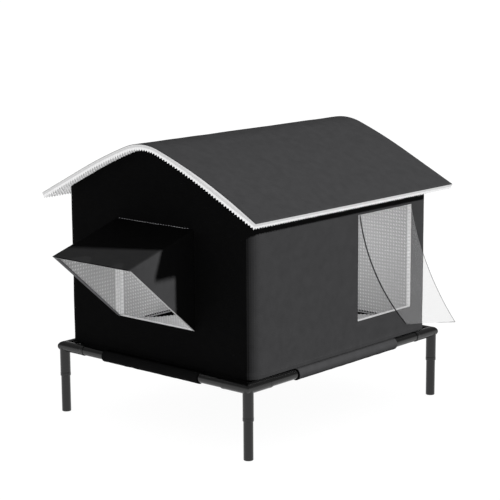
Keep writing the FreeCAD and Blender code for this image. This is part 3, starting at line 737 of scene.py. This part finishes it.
def hood_front_hem():
    """The skin's front edge, turned down over the upper part of the top board's end."""
    half = HOOD_X - 1 * MM
    lines_x = grid_lines([-half, half], 8 * MM)
    top = hood_top(HOOD_FRONT)
    deep = 2 * MM
    path = [(HOOD_FRONT + 0.6 * MM, top - 0.1 * MM), (HOOD_FRONT, top - 0.8 * MM), (HOOD_FRONT, top - deep),
            (HOOD_FRONT + 0.3 * MM, top - deep - 0.2 * MM)]
    back = [(HOOD_FRONT + 1.2 * MM, top - 0.7 * MM), (HOOD_FRONT + 0.5 * MM, top - 1.1 * MM),
            (HOOD_FRONT + 0.5 * MM, top - deep + 0.2 * MM), (HOOD_FRONT + 0.6 * MM, top - deep)]
    outer = np.array([[(x, y, z) for y, z in path] for x in lines_x])
    inner = np.array([[(x, y, z) for y, z in back] for x in lines_x])
    new_piece("hood_front_hem", shell(outer, inner), WALL_FABRIC)


def hood_gusset(name, node, side, seed):
    """A triangular gusset board with its dimpled foil face inwards."""
    inner_x = FRONT_DOOR_X
    outer_x = HOOD_X - HOOD_COVER
    lines_y = dot_lines(HOOD_FRONT, -WALL_Y)
    lines_z = dot_lines(FRONT_DOOR_LOW, FRONT_DOOR_TOP)
    y, z = np.meshgrid(lines_y, lines_z, indexing="ij")
    low = hood_edge(y)
    high = np.maximum(low, hood_top(y) - (HOOD_TOP_THICKNESS + 0.5 * MM) / math.cos(HOOD_SLOPE))
    clipped = np.clip(z, low, high)
    relief = dots(*y.shape, seed) * (abs(clipped - z) < 1e-9)
    face = np.stack([side * (inner_x - relief), y, clipped], 2)
    back = np.stack([np.full_like(y, side * outer_x), y, clipped], 2)
    low_cells = np.minimum(clipped[:-1, :-1], clipped[1:, :-1])
    high_cells = np.maximum(clipped[:-1, 1:], clipped[1:, 1:])
    foam_piece(name, node, face, back, relief, high_cells - low_cells > SPECK)


def hood_top_board():
    """The hood's top board with its dimpled foil face down."""
    half = HOOD_X - 3 * MM
    lines_x = dot_lines(-half, half)
    lines_y = dot_lines(HOOD_FRONT + HOOD_COVER, -WALL_Y)
    x, y = np.meshgrid(lines_x, lines_y, indexing="ij")
    relief = dots(*x.shape, 44) * (abs(x) < FRONT_DOOR_X - 3 * MM)
    slant = 1 / math.cos(HOOD_SLOPE)
    under = np.stack([x, y, hood_top(y) - HOOD_TOP_THICKNESS * slant - relief], 2)
    upper = np.stack([x, y, hood_top(y) - HOOD_COVER * slant], 2)
    foam_piece("hood_top_foam", "hood_top_panel", under, upper, relief)


def hood_binding():
    """Binding tape folded over the left gusset's sloping edge; its inner lip narrows towards the sill. Its
    black fabric is painted grey for the light it catches from below.
    """
    outer, inner = [], []
    thick = 0.5 * MM
    start = -WALL_Y - 1.5 * MM
    inner_x = FRONT_DOOR_X
    tuck_x = inner_x - 4.8 * thick
    for t in np.linspace(0, 1, 61):
        y = start + (HOOD_FRONT - start) * t
        edge = hood_edge(y)
        room = max(0.2 * MM, hood_top(y) - HOOD_TOP_THICKNESS - edge)
        lip = min(room, (0.4 + 3.6 * min(1.0, t * 1.25)) * MM)
        outside = min(room, 6 * MM)
        path = [(HOOD_X + thick, edge + outside), (HOOD_X + thick, edge), (HOOD_X, edge - thick),
                (inner_x - thick, edge - thick), (tuck_x, edge), (tuck_x, edge + lip)]
        back = [(HOOD_X, edge + outside), (HOOD_X, edge), (HOOD_X - thick, edge),
                (inner_x, edge), (inner_x, edge + 0.1 * thick), (inner_x, edge + lip)]
        outer.append([(-x, y, z) for x, z in path])
        inner.append([(-x, y, z) for x, z in back])
    new_piece("hood_left_binding", shell(np.array(outer), np.array(inner)), LIT_BINDING)


def hood_flanges():
    """The strips that sew the hood's sides to the gable."""
    low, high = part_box("hood_side_flanges")
    parts = []
    inner_x = HOOD_X + 0.1 * MM
    for side in (-1, 1):
        lines_x = grid_lines([inner_x, inner_x + 1.2 * MM, high[0] - 1 * MM, high[0]], 1.5 * MM)
        lines_z = grid_lines([low[2], high[2]], 8 * MM)
        x, z = np.meshgrid(lines_x, lines_z, indexing="ij")
        edge = np.minimum(x - inner_x, high[0] - x)
        proud = 0.5 * MM + 0.5 * MM * np.clip(edge / (1 * MM), 0, 1)
        proud = proud + ripple(x, z, 51, 0.08 * MM, 40 * MM)
        face = np.stack([side * x, -WALL_Y - proud, z], 2)
        back = np.stack([side * x, np.full_like(x, -WALL_Y + 0.3 * MM), z], 2)
        parts.append(shell(face, back))
    piece = new_piece("hood_flange_tape", joined(parts), WALL_FABRIC)
    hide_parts("hood_side_flanges")


# ---------------------------------------------------------------- doorway edges
def edge_tape(name, node, corners, place, depth_low, depth_high, seed):
    """Foil tape round a doorway, whose corners are (a, b) points in order; depth runs through the wall."""
    points_a = []
    for (a0, b0), (a1, b1) in zip(corners, corners[1:] + corners[:1]):
        count = max(2, round(math.hypot(a1 - a0, b1 - b0) / (DOT_PITCH / 3)))
        points_a += [(a0 + (a1 - a0) * k / count, b0 + (b1 - b0) * k / count) for k in range(count)]
    centre_a = sum(a for a, _ in corners) / len(corners)
    centre_b = sum(b for _, b in corners) / len(corners)
    half_a = max(a for a, _ in corners) - centre_a
    half_b = max(b for _, b in corners) - centre_b
    depths = dot_lines(depth_low, depth_high)
    relief = dots(len(points_a), len(depths), seed, lines=2)
    relief[:, 0] = 0
    relief[:, -1] = 0
    face = np.zeros((len(points_a), len(depths), 3))
    back = np.zeros_like(face)
    for i, (a, b) in enumerate(points_a):
        on_side = abs(abs(a - centre_a) - half_a) < 1e-6
        on_level = abs(abs(b - centre_b) - half_b) < 1e-6
        step_a = -math.copysign(1, a - centre_a) if on_side else 0
        step_b = -math.copysign(1, b - centre_b) if on_level else 0
        for j, depth in enumerate(depths):
            rise = relief[i, j] * 0.75
            face[i, j] = place(a + step_a * rise, b + step_b * rise, depth)
            back[i, j] = place(a - step_a * (STRIP - 0.05 * MM), b - step_b * (STRIP - 0.05 * MM), depth)
    # The outer edge row takes the full dot colour while its shape stays flat: a painted highlight line along
    # the doorway's rim.
    outer_edge = -1 if depth_low > 0 else 0
    relief[:, outer_edge] = DOT_HEIGHT
    piece = new_piece(name, dimpled(face, back, relief, wrap=True), EDGE_FOIL)
    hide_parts(node)


def doorway_tapes():
    """Bright dimpled tape over the cut foam of both doorways."""
    front = [(-FRONT_DOOR_X, FRONT_DOOR_LOW), (FRONT_DOOR_X, FRONT_DOOR_LOW),
             (FRONT_DOOR_X, FRONT_DOOR_TOP), (-FRONT_DOOR_X, FRONT_DOOR_TOP)]
    edge_tape("front_doorway_tape", "front_door_edge_strip", front, lambda a, b, d: (a, d, b),
              -WALL_Y + COVER, -WALL_Y + WALL, 61)
    side = [(SIDE_DOOR_NEAR, SIDE_DOOR_LOW), (SIDE_DOOR_FAR, SIDE_DOOR_LOW),
            (SIDE_DOOR_FAR, SIDE_DOOR_TOP), (SIDE_DOOR_NEAR, SIDE_DOOR_TOP)]
    edge_tape("side_doorway_tape", "side_door_edge_strip", side, lambda a, b, d: (d, a, b),
              WALL_X - WALL, WALL_X - COVER, 62)


def jamb_lap(side):
    """The tape's lap onto the inner face of a gusset, beside the doorway."""
    lap = 16 * MM
    lines_y = dot_lines(-WALL_Y - lap, -WALL_Y)
    lines_z = dot_lines(FRONT_DOOR_LOW, FRONT_DOOR_TOP)
    y, z = np.meshgrid(lines_y, lines_z, indexing="ij")
    low = hood_edge(y) + 0.8 * MM
    high = hood_top(y) - HOOD_TOP_THICKNESS - 0.8 * MM
    clipped = np.clip(z, low, high)
    relief = dots(*y.shape, 63 + side, lines=2) * (abs(clipped - z) < 1e-9)
    face = np.stack([side * (FRONT_DOOR_X - 0.5 * MM - relief * 0.8), y, clipped], 2)
    back = np.stack([np.full_like(y, side * (FRONT_DOOR_X - 0.1 * MM)), y, clipped], 2)
    name = "left_jamb_lap" if side < 0 else "right_jamb_lap"
    new_piece(name, dimpled(face, back, relief), EDGE_FOIL)


# ---------------------------------------------------------------- stitches
def stitch_rows(name, rows, material, thick, pitch=5 * MM, length=3.2 * MM):
    """Rows of short raised stitches. A row is its two ends, with the outward direction."""
    vertices, faces = [], []
    for start, end, outward in rows:
        start, end, outward = Vector(start), Vector(end), Vector(outward).normalized()
        along = (end - start).normalized()
        side = along.cross(outward)
        count = max(1, int((end - start).length / pitch))
        for k in range(count):
            middle = start + along * (pitch * (k + 0.5))
            base = len(vertices)
            for t, s in ((-0.5, 0.35), (-0.3, 1.0), (0.3, 1.0), (0.5, 0.35)):
                centre = middle + along * (length * t)
                for a in range(6):
                    angle = a * math.pi / 3
                    ring = side * math.cos(angle) + outward * math.sin(angle)
                    vertices.append(centre + ring * (thick * s))
            for r in range(3):
                for a in range(6):
                    b = (a + 1) % 6
                    first = base + r * 6
                    faces.append((first + a, first + b, first + 6 + b, first + 6 + a))
            faces.append(tuple(base + a for a in range(6)))
            faces.append(tuple(base + 23 - a for a in range(6)))
    new_piece(name, (vertices, faces), material)


FRONT, REAR, RIGHT, LEFT = (0, -1, 0), (0, 1, 0), (1, 0, 0), (-1, 0, 0)


def house_stitches():
    """Seams on the house: hood joint, flanges, doorway edges and the cover's foot; by the hand gaps, a row of
    dark blobs paints the shade under the lowest foil dots.
    """
    face = -WALL_Y
    joint_z = FRONT_DOOR_TOP + 0.8 * MM
    rows = [((-FRONT_DOOR_X, face, joint_z), (FRONT_DOOR_X, face, joint_z), FRONT)]
    stitch_rows("hood_joint_stitches", rows, PALE_THREAD, 0.5 * MM, pitch=8.6 * MM, length=4.6 * MM)
    flange_x = (HOOD_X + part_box("hood_side_flanges")[1][0]) / 2
    flange_y = face - 1 * MM
    rows = [((x, flange_y, FRONT_DOOR_LOW + 3 * MM), (x, flange_y, FRONT_DOOR_TOP - 3 * MM), FRONT)
            for x in (-flange_x, flange_x)]
    stitch_rows("hood_flange_stitches", rows, THREAD, 0.3 * MM)
    inset = 7 * MM
    proud = 0.1 * MM
    near, far = SIDE_DOOR_NEAR - inset, SIDE_DOOR_FAR + inset
    low, high = SIDE_DOOR_LOW - inset, SIDE_DOOR_TOP + inset
    sides = (((near, low), (far, low)), ((near, low), (near, high)),
             ((far, low), (far, high)), ((near, high), (far, high)))
    rows = [((WALL_X + proud, *a), (WALL_X + proud, *b), RIGHT) for a, b in sides]
    low, edge = FRONT_DOOR_LOW - inset, FRONT_DOOR_X + inset
    rows.append(((-edge, face - proud, low), (edge, face - proud, low), FRONT))
    stitch_rows("doorway_stitches", rows, THREAD, 0.25 * MM)
    foot = HOUSE_BASE + 9 * MM
    side, end = WALL_X + 0.4 * MM, WALL_Y + 0.4 * MM
    rows = [((-FLAT_X, -end, foot), (FLAT_X, -end, foot), FRONT),
            ((FLAT_X, end, foot), (-FLAT_X, end, foot), REAR),
            ((side, -FLAT_Y, foot), (side, FLAT_Y, foot), RIGHT),
            ((-side, FLAT_Y, foot), (-side, -FLAT_Y, foot), LEFT)]
    stitch_rows("cover_foot_stitches", rows, THREAD, 0.25 * MM)
    # Painted shade: dark thread blobs at the dot pitch along the hand gaps, standing in for the shade under
    # the lowest row of foil dots.
    inside = FLOOR_HIGH[2] + 4.5 * MM
    rear, left = WALL_Y - WALL - DOT_HEIGHT, -WALL_X + WALL + DOT_HEIGHT
    span = FLOOR_GAP_HALF + 8 * MM
    rows = [((REAR_GAP_X + span, rear, inside), (REAR_GAP_X - span, rear, inside), FRONT),
            ((left, LEFT_GAP_Y - span, inside), (left, LEFT_GAP_Y + span, inside), RIGHT)]
    stitch_rows("hand_gap_shade_dots", rows, THREAD, 1.6 * MM, pitch=DOT_PITCH, length=4.2 * MM)


# ---------------------------------------------------------------- flap
FLAP_LOW, FLAP_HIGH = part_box("door_flap")
HINGE_X = WALL_X + 0.9 * MM
HINGE_Z = SIDE_DOOR_TOP - 1.1 * MM
FLAP_TOP_GAP = 0.5 * MM
FLAP_THICKNESS = 0.8 * MM
# length of the near and far edge, with its slope from upright at the top and at the tip, in degrees
FLAP_EDGES = ((289 * MM, 9.2, 50.4), (314 * MM, 11.9, 40.3))


def flap():
    """The clear flap: a thin sheet that curls outwards, more at its near edge."""
    near_band = 4.2 * MM
    thin_band = 1 * MM
    mean_length = (FLAP_EDGES[0][0] + FLAP_EDGES[1][0]) / 2
    near_y, far_y = FLAP_LOW[1], FLAP_HIGH[1]
    lines_y = grid_lines([near_y, near_y + near_band, far_y - thin_band, far_y], 6 * MM)
    lines_v = grid_lines([0, 1 - thin_band / mean_length, 1], 1 / 60)
    outer = np.zeros((len(lines_y), len(lines_v), 3))
    inner = np.zeros_like(outer)
    width = far_y - near_y
    for i, y in enumerate(lines_y):
        share = (y - near_y) / width
        ends = []
        for length, first, last in FLAP_EDGES:
            first, last = math.radians(first), math.radians(last)
            radius = length / (last - first)
            angle = first + (last - first) * lines_v
            x = FLAP_TOP_GAP * math.sin(first) + radius * (math.cos(first) - np.cos(angle))
            z = -FLAP_TOP_GAP * math.cos(first) - radius * (np.sin(angle) - math.sin(first))
            ends.append((x, z, np.cos(angle), np.sin(angle)))
        x, z, nx, nz = [near * (1 - share) + far * share for near, far in zip(*ends)]
        bulge = 1.5 * MM * math.sin(math.pi * share) * lines_v ** 2
        for grid, offset in ((inner, 0), (outer, FLAP_THICKNESS)):
            grid[i, :, 0] = HINGE_X + x + nx * (offset + bulge)
            grid[i, :, 1] = y
            grid[i, :, 2] = HINGE_Z + z + nz * (offset + bulge)
    piece = new_piece("clear_flap_sheet", shell(outer, inner), CLEAR, "flap")

    def painted_dark_edge(centre, normal):
        """Whether a face belongs to the edge band painted dark, for how dark the sheet's edge looks seen
        edge-on.
        """
        near = centre.y < near_y + near_band
        far = centre.y > far_y - thin_band
        share = (centre.y - near_y) / width
        tip = outer[0, -2, 2] * (1 - share) + outer[-1, -2, 2] * share
        return near or far or centre.z < tip

    paint(piece, CLEAR_EDGE, painted_dark_edge)
    piece.visible_shadow = False
    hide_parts("door_flap")


# ---------------------------------------------------------------- roof
ROOF_DOT_GAIN = 1.8


def roof_foam():
    """The bent foam board with its dimpled foil face down; the dots break its lower edges."""
    count = round(2 * ROOF_RUN / DOT_PITCH) * 3 + 1
    runs = np.linspace(-ROOF_RUN, ROOF_RUN, count)
    lines_y = dot_lines(-ROOF_Y, ROOF_Y)
    relief = dots(len(runs), len(lines_y), 71, start=0) * ROOF_DOT_GAIN
    levels = [COVER, COVER + (ROOF_THICKNESS - COVER) * 0.55, ROOF_THICKNESS]
    grids = []
    for level in levels:
        grid = np.zeros((len(runs), len(lines_y), 3))
        for i, run in enumerate(runs):
            x, z = roof_point(run, level)
            grid[i, :, 0], grid[i, :, 1], grid[i, :, 2] = x, lines_y, z
        grids.append(grid)
    upper, middle, under = grids
    margin = 3 * MM
    x, y = abs(under[..., 0]), abs(under[..., 1])
    over_wall = (x > WALL_X - WALL - margin) | (y > WALL_Y - WALL - margin)
    over_wall &= (x < WALL_X + margin) & (y < WALL_Y + margin)
    relief = relief * ~over_wall
    under += (under - middle) / (levels[2] - levels[1]) * relief[..., None]
    rows, columns = len(runs), len(lines_y)
    size = rows * columns

    def index(layer, i, j):
        return layer * size + i * columns + j

    last_i, last_j = rows - 1, columns - 1
    faces = [(index(2, i, j), index(2, i + 1, j), index(2, i + 1, j + 1), index(2, i, j + 1))
             for i in range(last_i) for j in range(last_j)]
    for low, top in ((1, 0), (2, 1)):
        faces += [(index(low, i, j), index(top, i, j), index(top, i + 1, j), index(low, i + 1, j))
                  for i in range(last_i) for j in (0, last_j)]
        faces += [(index(low, i, j), index(low, i, j + 1), index(top, i, j + 1), index(top, i, j))
                  for i in (0, last_i) for j in range(last_j)]
    faces += [(index(0, i, 0), index(0, i + 1, 0), index(0, i + 1, last_j), index(0, i, last_j))
              for i in range(1, last_i - 1)]
    for end, beside in ((0, 1), (last_i, last_i - 1)):
        edge = [index(0, end, j) for j in range(columns)]
        faces.append(edge + [index(0, beside, last_j), index(0, beside, 0)])
    used = sorted({k for face in faces for k in face})
    renumber = {old: new for new, old in enumerate(used)}
    faces = [[renumber[k] for k in face] for face in faces]
    points = np.concatenate([grid.reshape(-1, 3) for grid in grids])
    rise = np.concatenate([np.zeros(2 * size), relief.ravel() / DOT_HEIGHT])
    points = np.column_stack([points, rise])[used]
    piece = new_piece("roof_foam_board", (points, faces), ROOF_FOIL, "roof")
    half_way = (ROOF_THICKNESS - COVER) * 0.5
    eave_z = roof_point(ROOF_RUN, levels[1])[1]

    def cut_edge(centre, normal):
        """Whether a face belongs to the upper part of the board's cut edge."""
        at_end = abs(centre.y) > ROOF_Y - 0.1 * MM and centre.z > roof_height(centre.x, levels[1])
        at_eave = abs(centre.x) > ROOF_X - half_way and abs(normal.x) > 0.7 and centre.z > eave_z
        return at_end or at_eave

    paint(piece, FOAM_CORE, cut_edge)
    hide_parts("roof_panel")


def roof_cover():
    """The roof's fabric skin; its front edge pulls back a little on the right slope."""
    breaks = [-ROOF_RUN, -ROOF_RUN + 1 * MM, -RIDGE_RUN, RIDGE_RUN, ROOF_RUN - 1 * MM, ROOF_RUN]
    runs = grid_lines(breaks, 7 * MM)
    lines_y = grid_lines([-ROOF_Y, -ROOF_Y + 1 * MM, ROOF_Y - 1 * MM, ROOF_Y], 8 * MM)
    run, y = np.meshgrid(runs, lines_y, indexing="ij")
    relief = ripple(run, y, 81, 0.2 * MM, 120 * MM)
    edge = np.minimum(ROOF_RUN - abs(run), ROOF_Y - abs(y))
    relief = relief * np.clip(edge / (20 * MM), 0, 1) - 0.55 * MM * (edge < 0.5 * MM)
    outer = np.zeros((*run.shape, 3))
    inner = np.zeros_like(outer)
    for i, distance in enumerate(runs):
        pull = 8 * MM * max(0.0, math.sin(math.pi * np.clip(distance / ROOF_RUN, 0, 1) ** 1.6)) ** 1.2
        y_line = lines_y + pull * ((ROOF_Y - lines_y) / (2 * ROOF_Y)) ** 6
        for j, place in enumerate(y_line):
            x, z = roof_point(distance, -relief[i, j])
            outer[i, j] = (x, place, z)
            x, z = roof_point(distance, COVER)
            inner[i, j] = (x, place, z)
    # The roof skin takes the lighter copy of the fabric: painted light.
    piece = new_piece("roof_cover_fabric", shell(outer, inner), ROOF_LIT_FABRIC, "roof")
    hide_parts("roof_cover")


# ---------------------------------------------------------------- nodes that keep their shape
def dress_nodes():
    """Materials for the frame's own solids that stay in view."""
    for name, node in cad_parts.items():
        if name.startswith(("corner_fitting", "foot_cap")):
            material = FITTING
        elif name.startswith("leg_") or name.endswith("_rail"):
            material = TUBE
        elif name in ("roof_hook_strips", "roof_loop_strips", "flap_header_strip"):
            material = HOOK
        else:
            material = WALL_FABRIC
        node.data.materials.clear()
        node.data.materials.append(material)


# ---------------------------------------------------------------- stage, lights and camera
FOCAL_PIXELS = 1644.8
PHOTO_PIXELS = 500
SENSOR = 36.0
CAMERA_PLACE = Vector((2.6719, -3.0231, 1.1738))
CAMERA_AZIMUTH = math.radians(41.479)
CAMERA_ELEVATION = math.radians(10.939)
CAMERA_ROLL = math.radians(-0.346)
SUN_DIRECTION = Vector((1, 0.42, 0.62))
SUN_STRENGTH = 52
SUN_SPREAD = math.radians(3)
CABIN_FILL_STRENGTH = 1.7
CABIN_FILL_PLACE = (0, 0, 0.38)
EAVE_FILL_DIRECTION = Vector((-0.35, -0.15, -0.9))
EAVE_FILL_STRENGTH = 1.1
EAVE_FILL_SPREAD = math.radians(30)
FLOOR_RADIUS = 40
FLOOR_GLOW = 0.95
OVERHEAD_START, OVERHEAD_FULL, OVERHEAD_LOSS = 0.02, 0.3, 0.75


def stage():
    """A wide pale floor that glows nearly as bright as the room."""
    bpy.ops.mesh.primitive_circle_add(vertices=96, radius=FLOOR_RADIUS, fill_type="NGON", location=(0, 0, 0))
    floor = bpy.context.object
    floor.name = "stage_floor"
    material = new_material("stage_floor", (0.1, 0.1, 0.1), roughness=1.0, specular=0.0)
    inputs = shader_of(material).inputs
    inputs["Emission Color"].default_value = (1, 1, 1, 1)
    inputs["Emission Strength"].default_value = FLOOR_GLOW
    floor.data.materials.append(material)


def new_lamp(name, kind, strength, pieces, place=(0, 0, 0), direction=None, **settings):
    """A lamp that lights only these pieces. A sun's direction points back towards the sun."""
    data = bpy.data.lights.new(name, kind)
    data.energy = strength
    for key, value in settings.items():
        setattr(data, key, value)
    lamp = bpy.data.objects.new(name, data)
    lamp.location = place
    if direction is not None:
        lamp.rotation_euler = direction.to_track_quat("Z", "Y").to_euler()
    bpy.context.scene.collection.objects.link(lamp)
    group = bpy.data.collections.new(name + "_lit")
    for piece in pieces:
        group.objects.link(piece)
    lamp.light_linking.receiver_collection = group


def lights():
    """A sun from the right for the dark skins, and soft fills on the pale linings and under the roof."""
    dark = [piece for piece in bpy.context.scene.objects
            if piece.type == "MESH" and piece not in PALE and piece.name != "stage_floor"
            and piece.active_material not in (TUBE, FITTING)]
    new_lamp("sun", "SUN", SUN_STRENGTH, dark, direction=SUN_DIRECTION, angle=SUN_SPREAD)
    new_lamp("cabin_fill", "POINT", CABIN_FILL_STRENGTH, PALE, CABIN_FILL_PLACE, shadow_soft_size=0.1)
    roof_lining = [piece for piece in PALE if piece.data.materials[0] == ROOF_FOIL]
    new_lamp("eave_fill", "SUN", EAVE_FILL_STRENGTH, roof_lining, direction=EAVE_FILL_DIRECTION,
             angle=EAVE_FILL_SPREAD, use_shadow=False)


def room():
    """White light from all round, dimmed overhead for reflections only."""
    world = bpy.data.worlds.new("room")
    world.use_nodes = True
    sky = world.node_tree.nodes["Background"]
    sky.inputs["Color"].default_value = (1, 1, 1, 1)
    direction = add_node(world, "ShaderNodeTexCoord")
    height = add_node(world, "ShaderNodeSeparateXYZ", {"Vector": (direction, "Generated")})
    shade = add_node(world, "ShaderNodeMapRange", {"Value": (height, "Z")},
                     From_Min=OVERHEAD_START, From_Max=OVERHEAD_FULL, To_Min=0.0, To_Max=OVERHEAD_LOSS)
    ray = add_node(world, "ShaderNodeLightPath")
    loss = add_node(world, "ShaderNodeMath", {0: (shade, "Result"), 1: (ray, "Is Glossy Ray")},
                    operation="MULTIPLY")
    left = add_node(world, "ShaderNodeMath", {1: (loss, "Value")}, operation="SUBTRACT")
    left.inputs[0].default_value = 1.0
    link(world, left, "Value", sky, "Strength")
    scene = bpy.context.scene
    scene.world = world
    scene.view_settings.view_transform = "Standard"
    scene.view_settings.look = "None"
    scene.view_settings.exposure = 0
    scene.view_settings.gamma = 1


def camera():
    """The photograph's viewpoint."""
    data = bpy.data.cameras.new("camera")
    data.sensor_fit = "HORIZONTAL"
    data.sensor_width = SENSOR
    data.lens = FOCAL_PIXELS * SENSOR / PHOTO_PIXELS
    data.clip_end = 100
    eye = bpy.data.objects.new("camera", data)
    bpy.context.scene.collection.objects.link(eye)
    back = Vector((math.sin(CAMERA_AZIMUTH) * math.cos(CAMERA_ELEVATION),
                   -math.cos(CAMERA_AZIMUTH) * math.cos(CAMERA_ELEVATION), math.sin(CAMERA_ELEVATION)))
    level = Vector((math.cos(CAMERA_AZIMUTH), math.sin(CAMERA_AZIMUTH), 0))
    upright = back.cross(level)
    right = level * math.cos(CAMERA_ROLL) + upright * math.sin(CAMERA_ROLL)
    up = upright * math.cos(CAMERA_ROLL) - level * math.sin(CAMERA_ROLL)
    turn = Matrix((right, up, back)).transposed().to_4x4()
    eye.matrix_world = Matrix.Translation(CAMERA_PLACE) @ turn
    bpy.context.scene.camera = eye


camera()
stage()
dress_nodes()
outer_cover()
turned_hem()
foam_walls()
floor_mat()
deck()
for rail_side in ("front", "rear", "left", "right"):
    sleeve(rail_side)
hood_cover()
hood_front_hem()
hood_gusset("hood_left_foam", "hood_left_gusset", -1, 42)
hood_gusset("hood_right_foam", "hood_right_gusset", 1, 43)
hood_top_board()
hood_binding()
hood_flanges()
doorway_tapes()
jamb_lap(-1)
jamb_lap(1)
house_stitches()
flap()
roof_foam()
roof_cover()
lights()
room()
